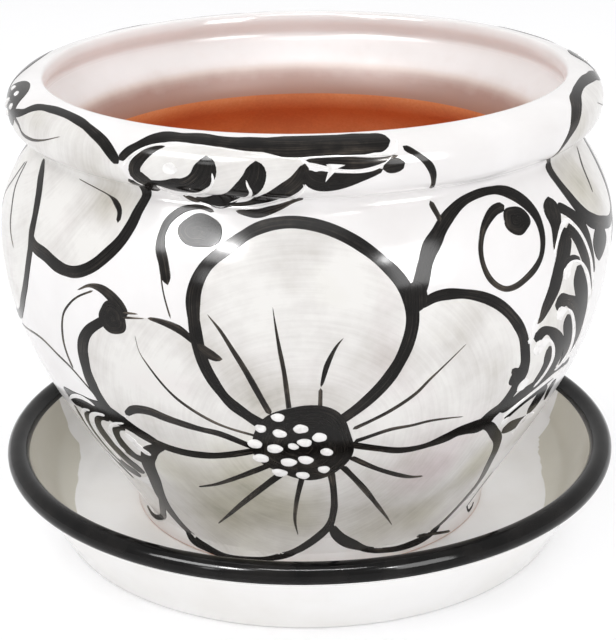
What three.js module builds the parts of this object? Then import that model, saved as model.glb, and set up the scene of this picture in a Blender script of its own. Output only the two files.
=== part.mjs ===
// A glazed earthenware flower pot standing in its own drip saucer.
// Millimetres, +Z up. The origin is the centre of the saucer's underside.

import * as THREE from 'three';

// Pot, outside
const FOOT_DIAMETER = 144; // trimmed foot that stands in the saucer
const FOOT_HEIGHT = 5.5; // upright band above the foot
const FOOT_TAPER = 0.5; // how far the band draws in before the wall flares
const BELLY_DIAMETER = 240; // widest point of the body
const BELLY_RISE = 112.5; // from the top of the foot band to the widest point
const FLARE_REACH = 24; // how far out the lower wall leans before it rounds
const SHOULDER_RISE = 38.5; // from the widest point up to the neck
const NECK_DIAMETER = 209.6; // bottom of the groove under the collar
const GROOVE_WIDTH = 5; // height of the rounded groove
const COLLAR_OVERHANG = 9.4; // how far the rolled collar stands out from the groove
const COLLAR_RISE = 14; // from the groove up to the collar's widest point
const CREST_RISE = 9.6; // from the collar's widest point up to the crest of the lip

// Pot, inside
const WALL = 11; // body wall at the belly
const FLOOR = 12; // floor over the saucer
const LIP_DROP = 4; // from the crest down to the lip's narrowest point
const COLLAR_THICKNESS = 14.7; // across the collar, from its widest point to the mouth
const LIP_ROUNDING = 2; // how far the inner lip rounds over towards the crest
const CHANNEL_RELIEF = 1.9; // shallow undercut channel below the lip
const CHANNEL_DROP = 6.3; // from the lip's narrowest point to the channel
const SHELF_DROP = 8.9; // height of the sloping shelf below the channel
const NECK_WALL = 10; // wall between the groove outside and the shelf's foot inside
const THROAT_STEP = 5.1; // how much the throat narrows below the shelf
const THROAT_LENGTH = 14.9; // from the foot of the shelf to the narrowest ring
const THROAT_ROUNDING = 8.5; // soft underside of the throat ring
const FLOOR_CORNER = 11; // rounded corner between floor and wall

// Pot, underneath
const FOOT_RING_WIDTH = 11; // the annulus that the pot stands on
const FOOT_RECESS = 2.2; // depth of the hollow inside the foot ring
const DRAIN_DIAMETER = 18; // drain hole through the floor

// Saucer
const WELL_MARGIN = 22; // flat floor beyond the pot's foot
const SAUCER_FLARE = 22.2; // run of the inner wall from the floor out to the rim
const SAUCER_DEPTH = 24.5; // from the floor of the well up to the middle of the rim bead
const SAUCER_FLOOR = 8.2; // thickness of the floor
const SAUCER_WALL = 9; // from the well's corner out to the edge of the base
const BEAD_DIAMETER = 8.8; // rounded rim
const BASE_RING_WIDTH = 8; // the annulus that the saucer stands on
const BASE_RECESS = 1.8; // depth of the hollow inside that ring
const BASE_EDGE = 1.2; // softened outer edge of the base

// Fit and fineness
const SEAT_GAP = 0.3; // between the pot's foot and the floor of the well
const SEGMENTS = 64; // facets round the turned forms
const FACET_LENGTH = 12; // longest facet along a curved stretch
const FACET_TURN = 22; // most that an outline turns from one facet to the next, in degrees

const WHITE_GLAZE = new THREE.MeshStandardMaterial({
  color: '#f1efeb', roughness: 0.12, metalness: 0,
});
const SAUCER_GLAZE = new THREE.MeshStandardMaterial({
  color: '#dfdcd5', roughness: 0.14, metalness: 0,
});

// How far a curve's direction turns from end to end, in degrees.
function turning(curve) {
  const samples = 16;
  let turned = 0;
  let heading = curve.getTangent(0);
  for (let i = 1; i <= samples; i += 1) {
    const next = curve.getTangent(i / samples);
    turned += Math.abs(heading.cross(next));
    heading = next;
  }
  return THREE.MathUtils.radToDeg(turned);
}

// One point for each line end, and enough points along each curve for its length and its turn.
function outlinePoints(path) {
  const points = [path.curves[0].getPoint(0)];
  for (const curve of path.curves) {
    const steps = curve.isLineCurve
      ? 1
      : Math.ceil(Math.max(curve.getLength() / FACET_LENGTH, turning(curve) / FACET_TURN));
    for (let i = 1; i <= steps; i += 1) points.push(curve.getPoint(i / steps));
  }
  return points;
}

// A turned piece: an outline of radius and height, spun about the Z axis.
function turned(name, path, material) {
  const geometry = new THREE.LatheGeometry(outlinePoints(path), SEGMENTS);
  geometry.rotateX(Math.PI / 2);
  const mesh = new THREE.Mesh(geometry, material);
  mesh.name = name;
  return mesh;
}

// The pot's outline is one closed loop, because the drain hole leaves no floor on the axis.
function potOutline() {
  const footRadius = FOOT_DIAMETER / 2;
  const bellyRadius = BELLY_DIAMETER / 2;
  const neckRadius = NECK_DIAMETER / 2;
  const drainRadius = DRAIN_DIAMETER / 2;
  const recessRadius = footRadius - FOOT_RING_WIDTH;

  const bellyHeight = FOOT_HEIGHT + BELLY_RISE;
  const neckHeight = bellyHeight + SHOULDER_RISE;
  const collarRadius = neckRadius + COLLAR_OVERHANG;
  const collarHeight = neckHeight + COLLAR_RISE;
  const crestHeight = collarHeight + CREST_RISE;

  const path = new THREE.Path();

  // Foot ring and its band
  path.moveTo(recessRadius, 0);
  path.lineTo(footRadius, 0);
  path.lineTo(footRadius, FOOT_HEIGHT / 2);
  path.lineTo(footRadius - FOOT_TAPER, FOOT_HEIGHT);

  // Lower wall, leaning out and then rounding up into the belly
  path.bezierCurveTo(
    footRadius - FOOT_TAPER + FLARE_REACH, FOOT_HEIGHT + 0.355 * BELLY_RISE,
    bellyRadius, FOOT_HEIGHT + 0.618 * BELLY_RISE,
    bellyRadius, bellyHeight,
  );

  // Shoulder, drawn in to the neck
  const grooveLow = neckHeight - GROOVE_WIDTH / 2;
  const grooveHigh = neckHeight + GROOVE_WIDTH / 2;
  const grooveLip = GROOVE_WIDTH / 4;
  path.bezierCurveTo(
    bellyRadius, bellyHeight + 0.47 * SHOULDER_RISE,
    neckRadius + grooveLip + 0.18 * SHOULDER_RISE, grooveLow - 0.26 * SHOULDER_RISE,
    neckRadius + grooveLip, grooveLow,
  );

  // Rounded groove under the collar
  path.quadraticCurveTo(
    neckRadius - grooveLip, neckHeight,
    neckRadius + grooveLip, grooveHigh,
  );

  // Rolled collar: swelling out, then over the crest and in to the mouth
  const mouthRadius = collarRadius - COLLAR_THICKNESS;
  const crestRadius = mouthRadius + LIP_ROUNDING;
  const lipHeight = crestHeight - LIP_DROP;
  path.bezierCurveTo(
    neckRadius + 0.8 * COLLAR_OVERHANG, grooveHigh + 0.15 * COLLAR_RISE,
    collarRadius, collarHeight - 0.45 * COLLAR_RISE,
    collarRadius, collarHeight,
  );
  path.absellipse(
    crestRadius, collarHeight,
    collarRadius - crestRadius, CREST_RISE,
    0, Math.PI / 2, false, 0,
  );
  path.absellipse(
    crestRadius, lipHeight,
    LIP_ROUNDING, LIP_DROP,
    Math.PI / 2, Math.PI, false, 0,
  );

  // Undercut channel, sloping shelf and throat
  const channelRadius = mouthRadius + CHANNEL_RELIEF;
  const channelHeight = lipHeight - CHANNEL_DROP;
  const shelfRadius = neckRadius - NECK_WALL;
  const shelfHeight = channelHeight - SHELF_DROP;
  const throatRadius = shelfRadius - THROAT_STEP;
  const throatHeight = shelfHeight - THROAT_LENGTH;
  path.bezierCurveTo(
    mouthRadius, lipHeight - 0.5 * CHANNEL_DROP,
    channelRadius + 0.5 * CHANNEL_RELIEF, channelHeight + 0.4 * CHANNEL_DROP,
    channelRadius, channelHeight,
  );
  path.bezierCurveTo(
    channelRadius - 0.5 * CHANNEL_RELIEF, channelHeight - 0.3 * SHELF_DROP,
    shelfRadius + 0.25 * SHELF_DROP, shelfHeight + 0.35 * SHELF_DROP,
    shelfRadius, shelfHeight,
  );
  path.bezierCurveTo(
    shelfRadius - 0.3 * THROAT_STEP, shelfHeight - 0.17 * THROAT_LENGTH,
    throatRadius, throatHeight + 0.4 * THROAT_LENGTH,
    throatRadius, throatHeight,
  );

  // Underside of the throat ring, then the hollow down to the floor
  const hollowRadius = bellyRadius - WALL;
  const cornerRadius = footRadius - FOOT_TAPER - WALL;
  path.bezierCurveTo(
    throatRadius, throatHeight - 0.4 * THROAT_ROUNDING,
    throatRadius + 0.35 * THROAT_ROUNDING, throatHeight - 0.8 * THROAT_ROUNDING,
    throatRadius + 0.7 * THROAT_ROUNDING, throatHeight - 1.05 * THROAT_ROUNDING,
  );
  path.bezierCurveTo(
    throatRadius + 1.7 * THROAT_ROUNDING, throatHeight - 1.8 * THROAT_ROUNDING,
    hollowRadius, bellyHeight + 0.2 * SHOULDER_RISE,
    hollowRadius, bellyHeight - 0.12 * BELLY_RISE,
  );
  path.bezierCurveTo(
    hollowRadius, FOOT_HEIGHT + 0.6 * BELLY_RISE,
    cornerRadius + FLARE_REACH, FOOT_HEIGHT + 0.4 * BELLY_RISE,
    cornerRadius + 0.2 * FLOOR_CORNER, FLOOR + FLOOR_CORNER,
  );
  path.quadraticCurveTo(
    cornerRadius - 0.4 * FLOOR_CORNER, FLOOR,
    cornerRadius - 1.4 * FLOOR_CORNER, FLOOR,
  );

  // Drain hole and the hollow inside the foot ring
  path.lineTo(drainRadius, FLOOR);
  path.lineTo(drainRadius, FOOT_RECESS);
  path.lineTo(recessRadius - FOOT_RECESS, FOOT_RECESS);
  path.lineTo(recessRadius, 0);
  return path;
}

// The saucer's outline runs from the axis underneath round to the axis in the well.
function saucerOutline() {
  const wellRadius = FOOT_DIAMETER / 2 + WELL_MARGIN;
  const baseRadius = wellRadius + SAUCER_WALL;
  const beadRadius = BEAD_DIAMETER / 2;
  const beadCentre = wellRadius + SAUCER_FLARE + 0.88 * beadRadius;
  const beadHeight = SAUCER_FLOOR + SAUCER_DEPTH;
  const ringRadius = baseRadius - BASE_RING_WIDTH;
  const beadStart = THREE.MathUtils.degToRad(-125);
  const beadEnd = THREE.MathUtils.degToRad(195);

  const path = new THREE.Path();
  path.moveTo(0, BASE_RECESS);
  path.lineTo(ringRadius - BASE_RECESS, BASE_RECESS);
  path.lineTo(ringRadius, 0);
  path.lineTo(baseRadius - BASE_EDGE, 0);
  path.quadraticCurveTo(baseRadius, 0, baseRadius + 0.4 * BASE_EDGE, BASE_EDGE);

  // Outer wall, flaring to the underside of the bead
  const underX = beadCentre + beadRadius * Math.cos(beadStart);
  const underY = beadHeight + beadRadius * Math.sin(beadStart);
  path.bezierCurveTo(
    baseRadius + 0.25 * SAUCER_FLARE, 0.38 * underY,
    underX - 0.12 * SAUCER_FLARE, 0.68 * underY,
    underX, underY,
  );

  // Rim bead, then the inner wall down to the flat of the well
  path.absarc(beadCentre, beadHeight, beadRadius, beadStart, beadEnd, false);
  const innerX = beadCentre + beadRadius * Math.cos(beadEnd);
  const innerY = beadHeight + beadRadius * Math.sin(beadEnd);
  path.bezierCurveTo(
    innerX - 0.12 * SAUCER_FLARE, innerY - 0.5 * SAUCER_DEPTH,
    wellRadius + 0.6 * SAUCER_FLARE, SAUCER_FLOOR,
    wellRadius, SAUCER_FLOOR,
  );
  path.lineTo(0, SAUCER_FLOOR);
  return path;
}

const saucer = turned('saucer', saucerOutline(), SAUCER_GLAZE);
const pot = turned('pot', potOutline(), WHITE_GLAZE);
pot.position.z = SAUCER_FLOOR + SEAT_GAP;

const pottedSet = new THREE.Group();
pottedSet.add(saucer, pot);

export default pottedSet;
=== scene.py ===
"""Looks of a hand-painted majolica flower pot in its saucer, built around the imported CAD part.

The CAD gives the turned forms. Here each one is dressed as what it is: a bare terracotta body, a tin-white
glaze coat over it, and brushwork laid on the coat as thin raised strokes. Lengths are in millimetres until a
mesh is made. A place on the pot's wall is (u, v): u is the azimuth from the painted front times BELLY_RADIUS,
positive to the right, and v is the distance up the wall from the foot's lower edge.
"""

import logging
import math
from dataclasses import dataclass, field, replace
from enum import Enum
from typing import Any, ClassVar, Iterable, Sequence

import bpy
import numpy as np
from mathutils import Euler, Matrix, Vector


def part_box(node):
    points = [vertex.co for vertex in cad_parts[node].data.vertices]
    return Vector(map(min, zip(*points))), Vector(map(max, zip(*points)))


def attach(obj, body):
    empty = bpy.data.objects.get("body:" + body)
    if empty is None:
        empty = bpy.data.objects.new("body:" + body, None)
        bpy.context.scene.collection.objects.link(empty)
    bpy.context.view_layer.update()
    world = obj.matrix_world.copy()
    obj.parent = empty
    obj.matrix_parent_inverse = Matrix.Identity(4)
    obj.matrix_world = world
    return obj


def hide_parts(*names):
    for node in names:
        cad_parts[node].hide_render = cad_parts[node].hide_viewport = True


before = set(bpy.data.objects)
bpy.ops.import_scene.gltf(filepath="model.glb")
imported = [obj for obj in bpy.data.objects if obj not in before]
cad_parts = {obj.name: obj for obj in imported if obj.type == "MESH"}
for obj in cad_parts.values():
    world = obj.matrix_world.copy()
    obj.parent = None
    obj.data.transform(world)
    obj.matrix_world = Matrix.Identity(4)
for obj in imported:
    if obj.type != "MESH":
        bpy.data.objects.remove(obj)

LOG = logging.getLogger("flower_pot")
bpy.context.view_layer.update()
MM = 0.001
IMAGE_WIDTH = 616
IMAGE_HEIGHT = 640

BELLY_RADIUS = float(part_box("pot")[1][0]) / MM
FOOT_LEVEL = float(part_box("pot")[0][2]) / MM
SAUCER_RADIUS = float(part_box("saucer")[1][0]) / MM

# Middles of the two side flowers, as u. The back panel is the front one mirrored between them.
LEFT_FLOWER = -160.0
RIGHT_FLOWER = 205.0
WAY_ROUND = 2 * math.pi * BELLY_RADIUS
BACK_GAIN = (WAY_ROUND - (RIGHT_FLOWER - LEFT_FLOWER)) / (RIGHT_FLOWER - LEFT_FLOWER)
BACK_ORIGIN = RIGHT_FLOWER * (1 + BACK_GAIN)
CURVE_STEPS = 12

Place = tuple[float, float]
Path = Sequence[tuple[float, float, float]]
Smear = tuple[float, float, float, float, float]


class Finishing(Enum):
    """Names of the record's material slots."""

    MAJOLICA = "majolica_glaze"
    SAUCER = "saucer_glaze"
    TERRACOTTA = "bare_terracotta"


class Ray(Enum):
    """What a soft light is there for: to light surfaces, or to be mirrored in the glaze."""

    LIGHT = "light"
    REFLECTION = "reflection"


def linear(hex_colour: str) -> tuple[float, float, float, float]:
    """Turns an sRGB hex colour into linear RGBA.

    Args:
        hex_colour: six hex digits after a hash.

    Returns:
        Red, green, blue and an alpha of 1, all linear.
    """
    parts = [int(hex_colour[i:i + 2], 16) / 255 for i in (1, 3, 5)]
    red, green, blue = (c / 12.92 if c <= 0.04045 else ((c + 0.055) / 1.055) ** 2.4 for c in parts)
    return red, green, blue, 1.0


# Materials


class Shader:
    """The node tree of a material or of the world."""

    def __init__(self, owner: bpy.types.Material | bpy.types.World) -> None:
        """Clears the owner's tree."""
        self.owner = owner
        owner.use_nodes = True
        self.tree = owner.node_tree
        self.tree.nodes.clear()

    @classmethod
    def called(cls, name: str) -> "Shader":
        """Starts a new material of that name."""
        return cls(bpy.data.materials.new(name))

    def add(self, kind: str, sockets: dict[Any, Any] | None = None, **settings: Any) -> bpy.types.Node:
        """Adds a node with its settings and links.

        Args:
            kind: Blender's name for the node type.
            sockets: input name or index to a constant, or to the output socket that feeds it.
            **settings: properties of the node itself.

        Returns:
            The new node.
        """
        node = self.tree.nodes.new(kind)
        for name, value in settings.items():
            setattr(node, name, value)
        for name, value in (sockets or {}).items():
            if isinstance(value, bpy.types.NodeSocket):
                self.tree.links.new(value, node.inputs[name])
            else:
                node.inputs[name].default_value = value
        return node

    def ramp(self, factor: bpy.types.NodeSocket, stops: Iterable[tuple[float, str]]) -> bpy.types.NodeSocket:
        """Colours a factor by hex stops.

        Args:
            factor: the output that runs along the ramp.
            stops: pairs of position and hex colour, in rising order.

        Returns:
            The ramp's colour output.
        """
        node = self.add("ShaderNodeValToRGB", {"Fac": factor})
        elements = node.color_ramp.elements
        stops = list(stops)
        for spare, (position, colour) in zip(elements, (stops[0], stops[-1])):
            spare.position = position
            spare.color = linear(colour)
        for position, colour in stops[1:-1]:
            elements.new(position).color = linear(colour)
        return node.outputs["Color"]

    def per_mm(self, size: float) -> float:
        """Gives the noise scale whose features are about size millimetres in object coordinates."""
        return 1 / (size * MM)

    def finish(self, surface: bpy.types.NodeSocket, kind: str = "Material") -> bpy.types.Material:
        """Links the surface to the output and returns what owns the tree."""
        self.add(f"ShaderNodeOutput{kind}", {"Surface": surface})
        return self.owner


@dataclass(frozen=True)
class TinGlaze:
    """Tin-opacified white glaze on earthenware, dipped and fired.

    It is opaque white with a faint cloudiness, warmer where it ran thin over an edge, and its skin is glossy
    with a slow waviness. The vertex attribute glaze_cover says how thick it lies: 1 is full, 0 is bare clay;
    another attribute is 1 on the saucer's inner flank, where the pot's shade is painted on in olive grey.
    """

    name: str = "tin_white_majolica_glaze"
    full: str = "#F5F3F3"
    cloud: str = "#F5F4F3"
    thin: str = "#DFD3CC"
    overspray: str = "#B08F83"
    scorched: str = "#B28B77"
    pot_shade_colour: str = "#DAD7CA"
    cloud_size: float = 55.0
    wave_size: float = 16.0
    ragged_size: float = 9.0
    ragged_edge: float = 0.16
    ragged_pot_shade: float = 0.3
    ior: float = 1.52
    roughness: float = 0.13

    def material(self) -> bpy.types.Material:
        """Builds the material."""
        s = Shader.called(self.name)
        at = s.add("ShaderNodeTexCoord").outputs["Object"]
        cloud = s.add("ShaderNodeTexNoise", {"Vector": at, "Scale": s.per_mm(self.cloud_size), "Detail": 5.0})
        cover = s.add("ShaderNodeAttribute", attribute_name="glaze_cover").outputs["Fac"]
        ragged = s.add("ShaderNodeTexNoise", {"Vector": at, "Scale": s.per_mm(self.ragged_size),
                                              "Detail": 6.0})
        shift = s.add("ShaderNodeMath", {0: ragged.outputs["Fac"], 1: 0.5}, operation="SUBTRACT")
        worn = s.add("ShaderNodeMath", {0: shift.outputs[0], 1: self.ragged_edge, 2: cover},
                     operation="MULTIPLY_ADD")
        body = s.ramp(worn.outputs[0], [(0.0, self.scorched), (0.3, self.overspray), (0.62, self.thin),
                                        (0.88, self.full)])
        white = s.ramp(cloud.outputs["Fac"], [(0.35, self.cloud), (0.6, "#FFFFFF")])
        # Painted shade of the pot: an olive-grey sheet laid over the white on the saucer's inner flank.
        pool = s.add("ShaderNodeAttribute", attribute_name="glaze_pool").outputs["Fac"]
        stray = s.add("ShaderNodeMath", {0: shift.outputs[0], 1: self.ragged_pot_shade, 2: pool},
                      operation="MULTIPLY_ADD")
        olive = s.ramp(stray.outputs[0], [(0.4, "#FFFFFF"), (0.6, self.pot_shade_colour)])
        white = s.add("ShaderNodeMix", {"Factor": 1.0, 6: white, 7: olive}, data_type="RGBA",
                      blend_type="MULTIPLY").outputs[2]
        colour = s.add("ShaderNodeMix", {"Factor": 1.0, 6: body, 7: white}, data_type="RGBA",
                       blend_type="MULTIPLY").outputs[2]
        wave = s.add("ShaderNodeTexNoise", {"Vector": at, "Scale": s.per_mm(self.wave_size), "Detail": 2.0})
        bump = s.add("ShaderNodeBump", {"Height": wave.outputs["Fac"], "Distance": 0.25 * MM,
                                        "Strength": 0.5})
        matt = s.add("ShaderNodeMapRange", {"Value": cover, "From Min": 0.88, "From Max": 1.0, "To Min": 0.5,
                                            "To Max": self.roughness}).outputs["Result"]
        skin = s.add("ShaderNodeBsdfPrincipled", {"Base Color": colour, "Roughness": matt, "IOR": self.ior,
                                                  "Normal": bump.outputs["Normal"]})
        return s.finish(skin.outputs[0])


@dataclass(frozen=True)
class BrushPigment:
    """Metal-oxide pigment brushed on raw glaze and fired into it.

    Hairs of the brush leave streaks along each stroke, thin where it was dry. The vertex attribute
    brush_place holds millimetres along and across the stroke and a number of its own for each stroke;
    brush_load says how much pigment lies there, and brush_hue runs from olive at -1 to mauve at 1.
    """

    name: str
    stops: tuple[tuple[float, str], ...]
    hair_width: float
    hair_length: float
    hair_share: float
    cloud_size: float
    specular: float
    tints: tuple[str, str, str]
    hue_size: float = 31.0
    ior: float = 1.52
    roughness: float = 0.16

    def material(self) -> bpy.types.Material:
        """Builds the material."""
        s = Shader.called(self.name)
        at = s.add("ShaderNodeTexCoord").outputs["Object"]
        brushed = s.add("ShaderNodeAttribute", attribute_name="brush_place").outputs["Vector"]
        load = s.add("ShaderNodeAttribute", attribute_name="brush_load").outputs["Fac"]
        stretch = (1 / self.hair_length, 1 / self.hair_width, 1.0)
        hair_at = s.add("ShaderNodeVectorMath", {0: brushed, 1: stretch}, operation="MULTIPLY").outputs[0]
        hairs = s.add("ShaderNodeTexNoise", {"Vector": hair_at, "Scale": 1.0, "Detail": 3.0,
                                             "Roughness": 0.6})
        cloud = s.add("ShaderNodeTexNoise", {"Vector": at, "Scale": s.per_mm(self.cloud_size), "Detail": 6.0,
                                             "Roughness": 0.58})
        both = s.add("ShaderNodeMix", {"Factor": self.hair_share, 2: cloud.outputs["Fac"],
                                       3: hairs.outputs["Fac"]}, data_type="FLOAT").outputs[0]
        loaded = s.add("ShaderNodeMath", {0: both, 1: load}, operation="SUBTRACT").outputs[0]
        hue = s.add("ShaderNodeAttribute", attribute_name="brush_hue").outputs["Fac"]
        drift = s.add("ShaderNodeTexNoise", {"Vector": at, "Scale": s.per_mm(self.hue_size),
                                             "Detail": 3.0}).outputs["Fac"]
        calm = s.add("ShaderNodeMath", {0: drift, 1: 0.5, 2: 0.26}, operation="MULTIPLY_ADD").outputs[0]
        lean = s.add("ShaderNodeMath", {0: hue, 1: 0.5, 2: calm}, operation="MULTIPLY_ADD").outputs[0]
        olive, plain, mauve = self.tints
        tint = s.ramp(lean, [(0.1, olive), (0.46, plain), (0.56, plain), (0.9, mauve)])
        colour = s.add("ShaderNodeMix", {"Factor": 1.0, 6: s.ramp(loaded, self.stops), 7: tint},
                       data_type="RGBA", blend_type="MULTIPLY").outputs[2]
        skin = s.add("ShaderNodeBsdfPrincipled", {"Base Color": colour, "Roughness": self.roughness,
                                                  "IOR": self.ior, "Specular IOR Level": self.specular})
        return s.finish(skin.outputs[0])


@dataclass(frozen=True)
class SlipWhite:
    """White clay slip trailed and dotted on, then glazed: raised, soft-edged and slightly warm."""

    name: str = "trailed_white_slip"
    colour: str = "#F8F6F5"
    shade: str = "#E4E2E0"
    patch_size: float = 3.0
    ior: float = 1.52
    roughness: float = 0.2

    def material(self) -> bpy.types.Material:
        """Builds the material."""
        s = Shader.called(self.name)
        at = s.add("ShaderNodeTexCoord").outputs["Object"]
        patch = s.add("ShaderNodeTexNoise", {"Vector": at, "Scale": s.per_mm(self.patch_size), "Detail": 3.0})
        colour = s.ramp(patch.outputs["Fac"], [(0.3, self.shade), (0.5, self.colour)])
        skin = s.add("ShaderNodeBsdfPrincipled", {"Base Color": colour, "Roughness": self.roughness,
                                                  "IOR": self.ior})
        return s.finish(skin.outputs[0])


@dataclass(frozen=True)
class Terracotta:
    """Unglazed red earthenware, thrown on a wheel and fired: matt, grainy, smoothed to a slow swell.

    The throwing rings were wiped out by hand, so one slow swell is drawn for every few of them.
    """

    name: str = "thrown_terracotta"
    dark: str = "#D5824A"
    mid: str = "#DF8F52"
    light: str = "#E69D67"
    grain_size: float = 1.2
    cloud_size: float = 38.0
    swell_pitch: float = 43.98
    ior: float = 1.45
    roughness: float = 0.88

    def material(self) -> bpy.types.Material:
        """Builds the material."""
        s = Shader.called(self.name)
        at = s.add("ShaderNodeTexCoord").outputs["Object"]
        grain = s.add("ShaderNodeTexNoise", {"Vector": at, "Scale": s.per_mm(self.grain_size), "Detail": 3.0})
        cloud = s.add("ShaderNodeTexNoise", {"Vector": at, "Scale": s.per_mm(self.cloud_size), "Detail": 4.0})
        both = s.add("ShaderNodeMix", {"Factor": 0.3, 2: cloud.outputs["Fac"], 3: grain.outputs["Fac"]},
                     data_type="FLOAT").outputs[0]
        colour = s.ramp(both, [(0.36, self.dark), (0.5, self.mid), (0.66, self.light)])
        waves = 2 * math.pi / 20 * s.per_mm(self.swell_pitch)  # at a scale of 1 it repeats every 2 pi / 20
        swell = s.add("ShaderNodeTexWave", {"Vector": at, "Scale": waves, "Distortion": 1.5, "Detail": 2.0},
                      bands_direction="Z")
        relief = s.add("ShaderNodeMath", {0: grain.outputs["Fac"], 1: 0.35, 2: swell.outputs["Fac"]},
                       operation="MULTIPLY_ADD")
        bump = s.add("ShaderNodeBump", {"Height": relief.outputs[0], "Distance": 0.12 * MM, "Strength": 0.6})
        skin = s.add("ShaderNodeBsdfPrincipled", {"Base Color": colour, "Roughness": self.roughness,
                                                  "IOR": self.ior, "Normal": bump.outputs["Normal"]})
        return s.finish(skin.outputs[0])


@dataclass(frozen=True)
class RimGlaze:
    """Black glaze banded on the saucer's rim as it turned: deep, glossy, a little uneven."""

    name: str = "black_banded_glaze"
    deep: str = "#0B0A0A"
    worn: str = "#1C1A19"
    cloud_size: float = 14.0
    wave_size: float = 11.0
    specular: float = 0.15
    ior: float = 1.55
    roughness: float = 0.12

    def material(self) -> bpy.types.Material:
        """Builds the material."""
        s = Shader.called(self.name)
        at = s.add("ShaderNodeTexCoord").outputs["Object"]
        cloud = s.add("ShaderNodeTexNoise", {"Vector": at, "Scale": s.per_mm(self.cloud_size), "Detail": 4.0})
        colour = s.ramp(cloud.outputs["Fac"], [(0.4, self.deep), (0.7, self.worn)])
        wave = s.add("ShaderNodeTexNoise", {"Vector": at, "Scale": s.per_mm(self.wave_size), "Detail": 2.0})
        bump = s.add("ShaderNodeBump", {"Height": wave.outputs["Fac"], "Distance": 0.25 * MM,
                                        "Strength": 0.5})
        skin = s.add("ShaderNodeBsdfPrincipled", {"Base Color": colour, "Roughness": self.roughness,
                                                  "IOR": self.ior, "Specular IOR Level": self.specular,
                                                  "Normal": bump.outputs["Normal"]})
        return s.finish(skin.outputs[0])


@dataclass(frozen=True)
class StudioFloor:
    """Pale painted board under the object: matt, and lifted for the camera so that it reads as white."""

    name: str = "pale_studio_board"
    colour: str = "#EEEEEF"
    lift: float = 0.17
    roughness: float = 0.9

    def material(self) -> bpy.types.Material:
        """Builds the material."""
        s = Shader.called(self.name)
        ray = s.add("ShaderNodeLightPath")
        seen = s.add("ShaderNodeMath", {0: ray.outputs["Is Camera Ray"], 1: ray.outputs["Is Glossy Ray"]},
                     operation="MAXIMUM")
        glow = s.add("ShaderNodeMath", {0: seen.outputs[0], 1: self.lift}, operation="MULTIPLY")
        board = s.add("ShaderNodeBsdfPrincipled", {"Base Color": linear(self.colour),
                                                   "Roughness": self.roughness, "Specular IOR Level": 0.1,
                                                   "Emission Color": (1.0, 1.0, 1.0, 1.0),
                                                   "Emission Strength": glow.outputs[0]})
        return s.finish(board.outputs[0])


# Turned forms


class Outline:
    """A turned outline in millimetres that grows stretch by stretch: radius, height."""

    def __init__(self, radius: float, height: float) -> None:
        """Starts at one point."""
        self.points: list[tuple[float, float]] = [(radius, height)]

    def line(self, radius: float, height: float, steps: int = 1) -> "Outline":
        """Runs straight to a point and returns the outline."""
        r0, h0 = self.points[-1]
        for i in range(1, steps + 1):
            self.points.append((r0 + (radius - r0) * i / steps, h0 + (height - h0) * i / steps))
        return self

    def bezier(self, first: Place, second: Place, end: Place, steps: int) -> "Outline":
        """Runs along a cubic curve.

        Args:
            first: the control point near the start.
            second: the control point near the end.
            end: where the curve ends.
            steps: how many straight pieces stand for it.

        Returns:
            The outline.
        """
        start = self.points[-1]
        for i in range(1, steps + 1):
            t = i / steps
            weights = ((1 - t) ** 3, 3 * (1 - t) ** 2 * t, 3 * (1 - t) * t * t, t ** 3)
            corners = (start, first, second, end)
            self.points.append(tuple(sum(w * c[k] for w, c in zip(weights, corners)) for k in (0, 1)))
        return self

    def bend(self, corner: Place, end: Place, steps: int) -> "Outline":
        """Rounds a corner by a quadratic curve and returns the outline."""
        r0, h0 = self.points[-1]
        first = (r0 + (corner[0] - r0) * 2 / 3, h0 + (corner[1] - h0) * 2 / 3)
        second = (end[0] + (corner[0] - end[0]) * 2 / 3, end[1] + (corner[1] - end[1]) * 2 / 3)
        return self.bezier(first, second, end, steps)

    def arc(self, centre: Place, semi: Place, start: float, end: float, steps: int) -> "Outline":
        """Runs round an ellipse.

        Args:
            centre: the ellipse's centre.
            semi: its half width and half height.
            start: the angle where it starts, in degrees.
            end: the angle where it ends, in degrees.
            steps: how many straight pieces stand for it.

        Returns:
            The outline.
        """
        for i in range(steps + 1):
            a = math.radians(start + (end - start) * i / steps)
            point = (centre[0] + semi[0] * math.cos(a), centre[1] + semi[1] * math.sin(a))
            if math.dist(point, self.points[-1]) > 1e-4:
                self.points.append(point)
        return self


class Wall:
    """A stretch of turned outline that paint and glaze are laid on."""

    def __init__(self, points: Sequence[Place]) -> None:
        """Measures the stretch.

        Args:
            points: radius and height of its points, going up the outside.
        """
        self.points = np.array(points, float)
        steps = np.diff(self.points, axis=0)
        self.stations = np.concatenate([[0.0], np.cumsum(np.hypot(steps[:, 0], steps[:, 1]))])
        slope = np.gradient(self.points, self.stations, axis=0)
        normals = np.stack([slope[:, 1], -slope[:, 0]], -1)
        self.normals = normals / np.linalg.norm(normals, axis=1)[:, None]

    def along(self, v: np.ndarray, lift: np.ndarray | float = 0.0) -> tuple[np.ndarray, np.ndarray]:
        """Finds places up the wall.

        Args:
            v: distances up the wall.
            lift: how far off the surface, outward.

        Returns:
            Radii and heights.
        """
        radius = np.interp(v, self.stations, self.points[:, 0])
        height = np.interp(v, self.stations, self.points[:, 1])
        out = np.interp(v, self.stations, self.normals[:, 0])
        up = np.interp(v, self.stations, self.normals[:, 1])
        return radius + lift * out, height + lift * up

    def spread(self, v: np.ndarray) -> np.ndarray:
        """Gives how many real millimetres one unit of u is at v."""
        return np.interp(v, self.stations, self.points[:, 0]) / BELLY_RADIUS

    def place(self, u: np.ndarray, v: np.ndarray, lift: np.ndarray | float) -> np.ndarray:
        """Turns places on the wall into points in space.

        Args:
            u: distance round the belly.
            v: distance up the wall.
            lift: how far off the surface.

        Returns:
            An array of points in metres.
        """
        radius, height = self.along(v, lift)
        azimuth = u / BELLY_RADIUS
        return np.stack([radius * np.sin(azimuth), -radius * np.cos(azimuth), height], -1) * MM


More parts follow.
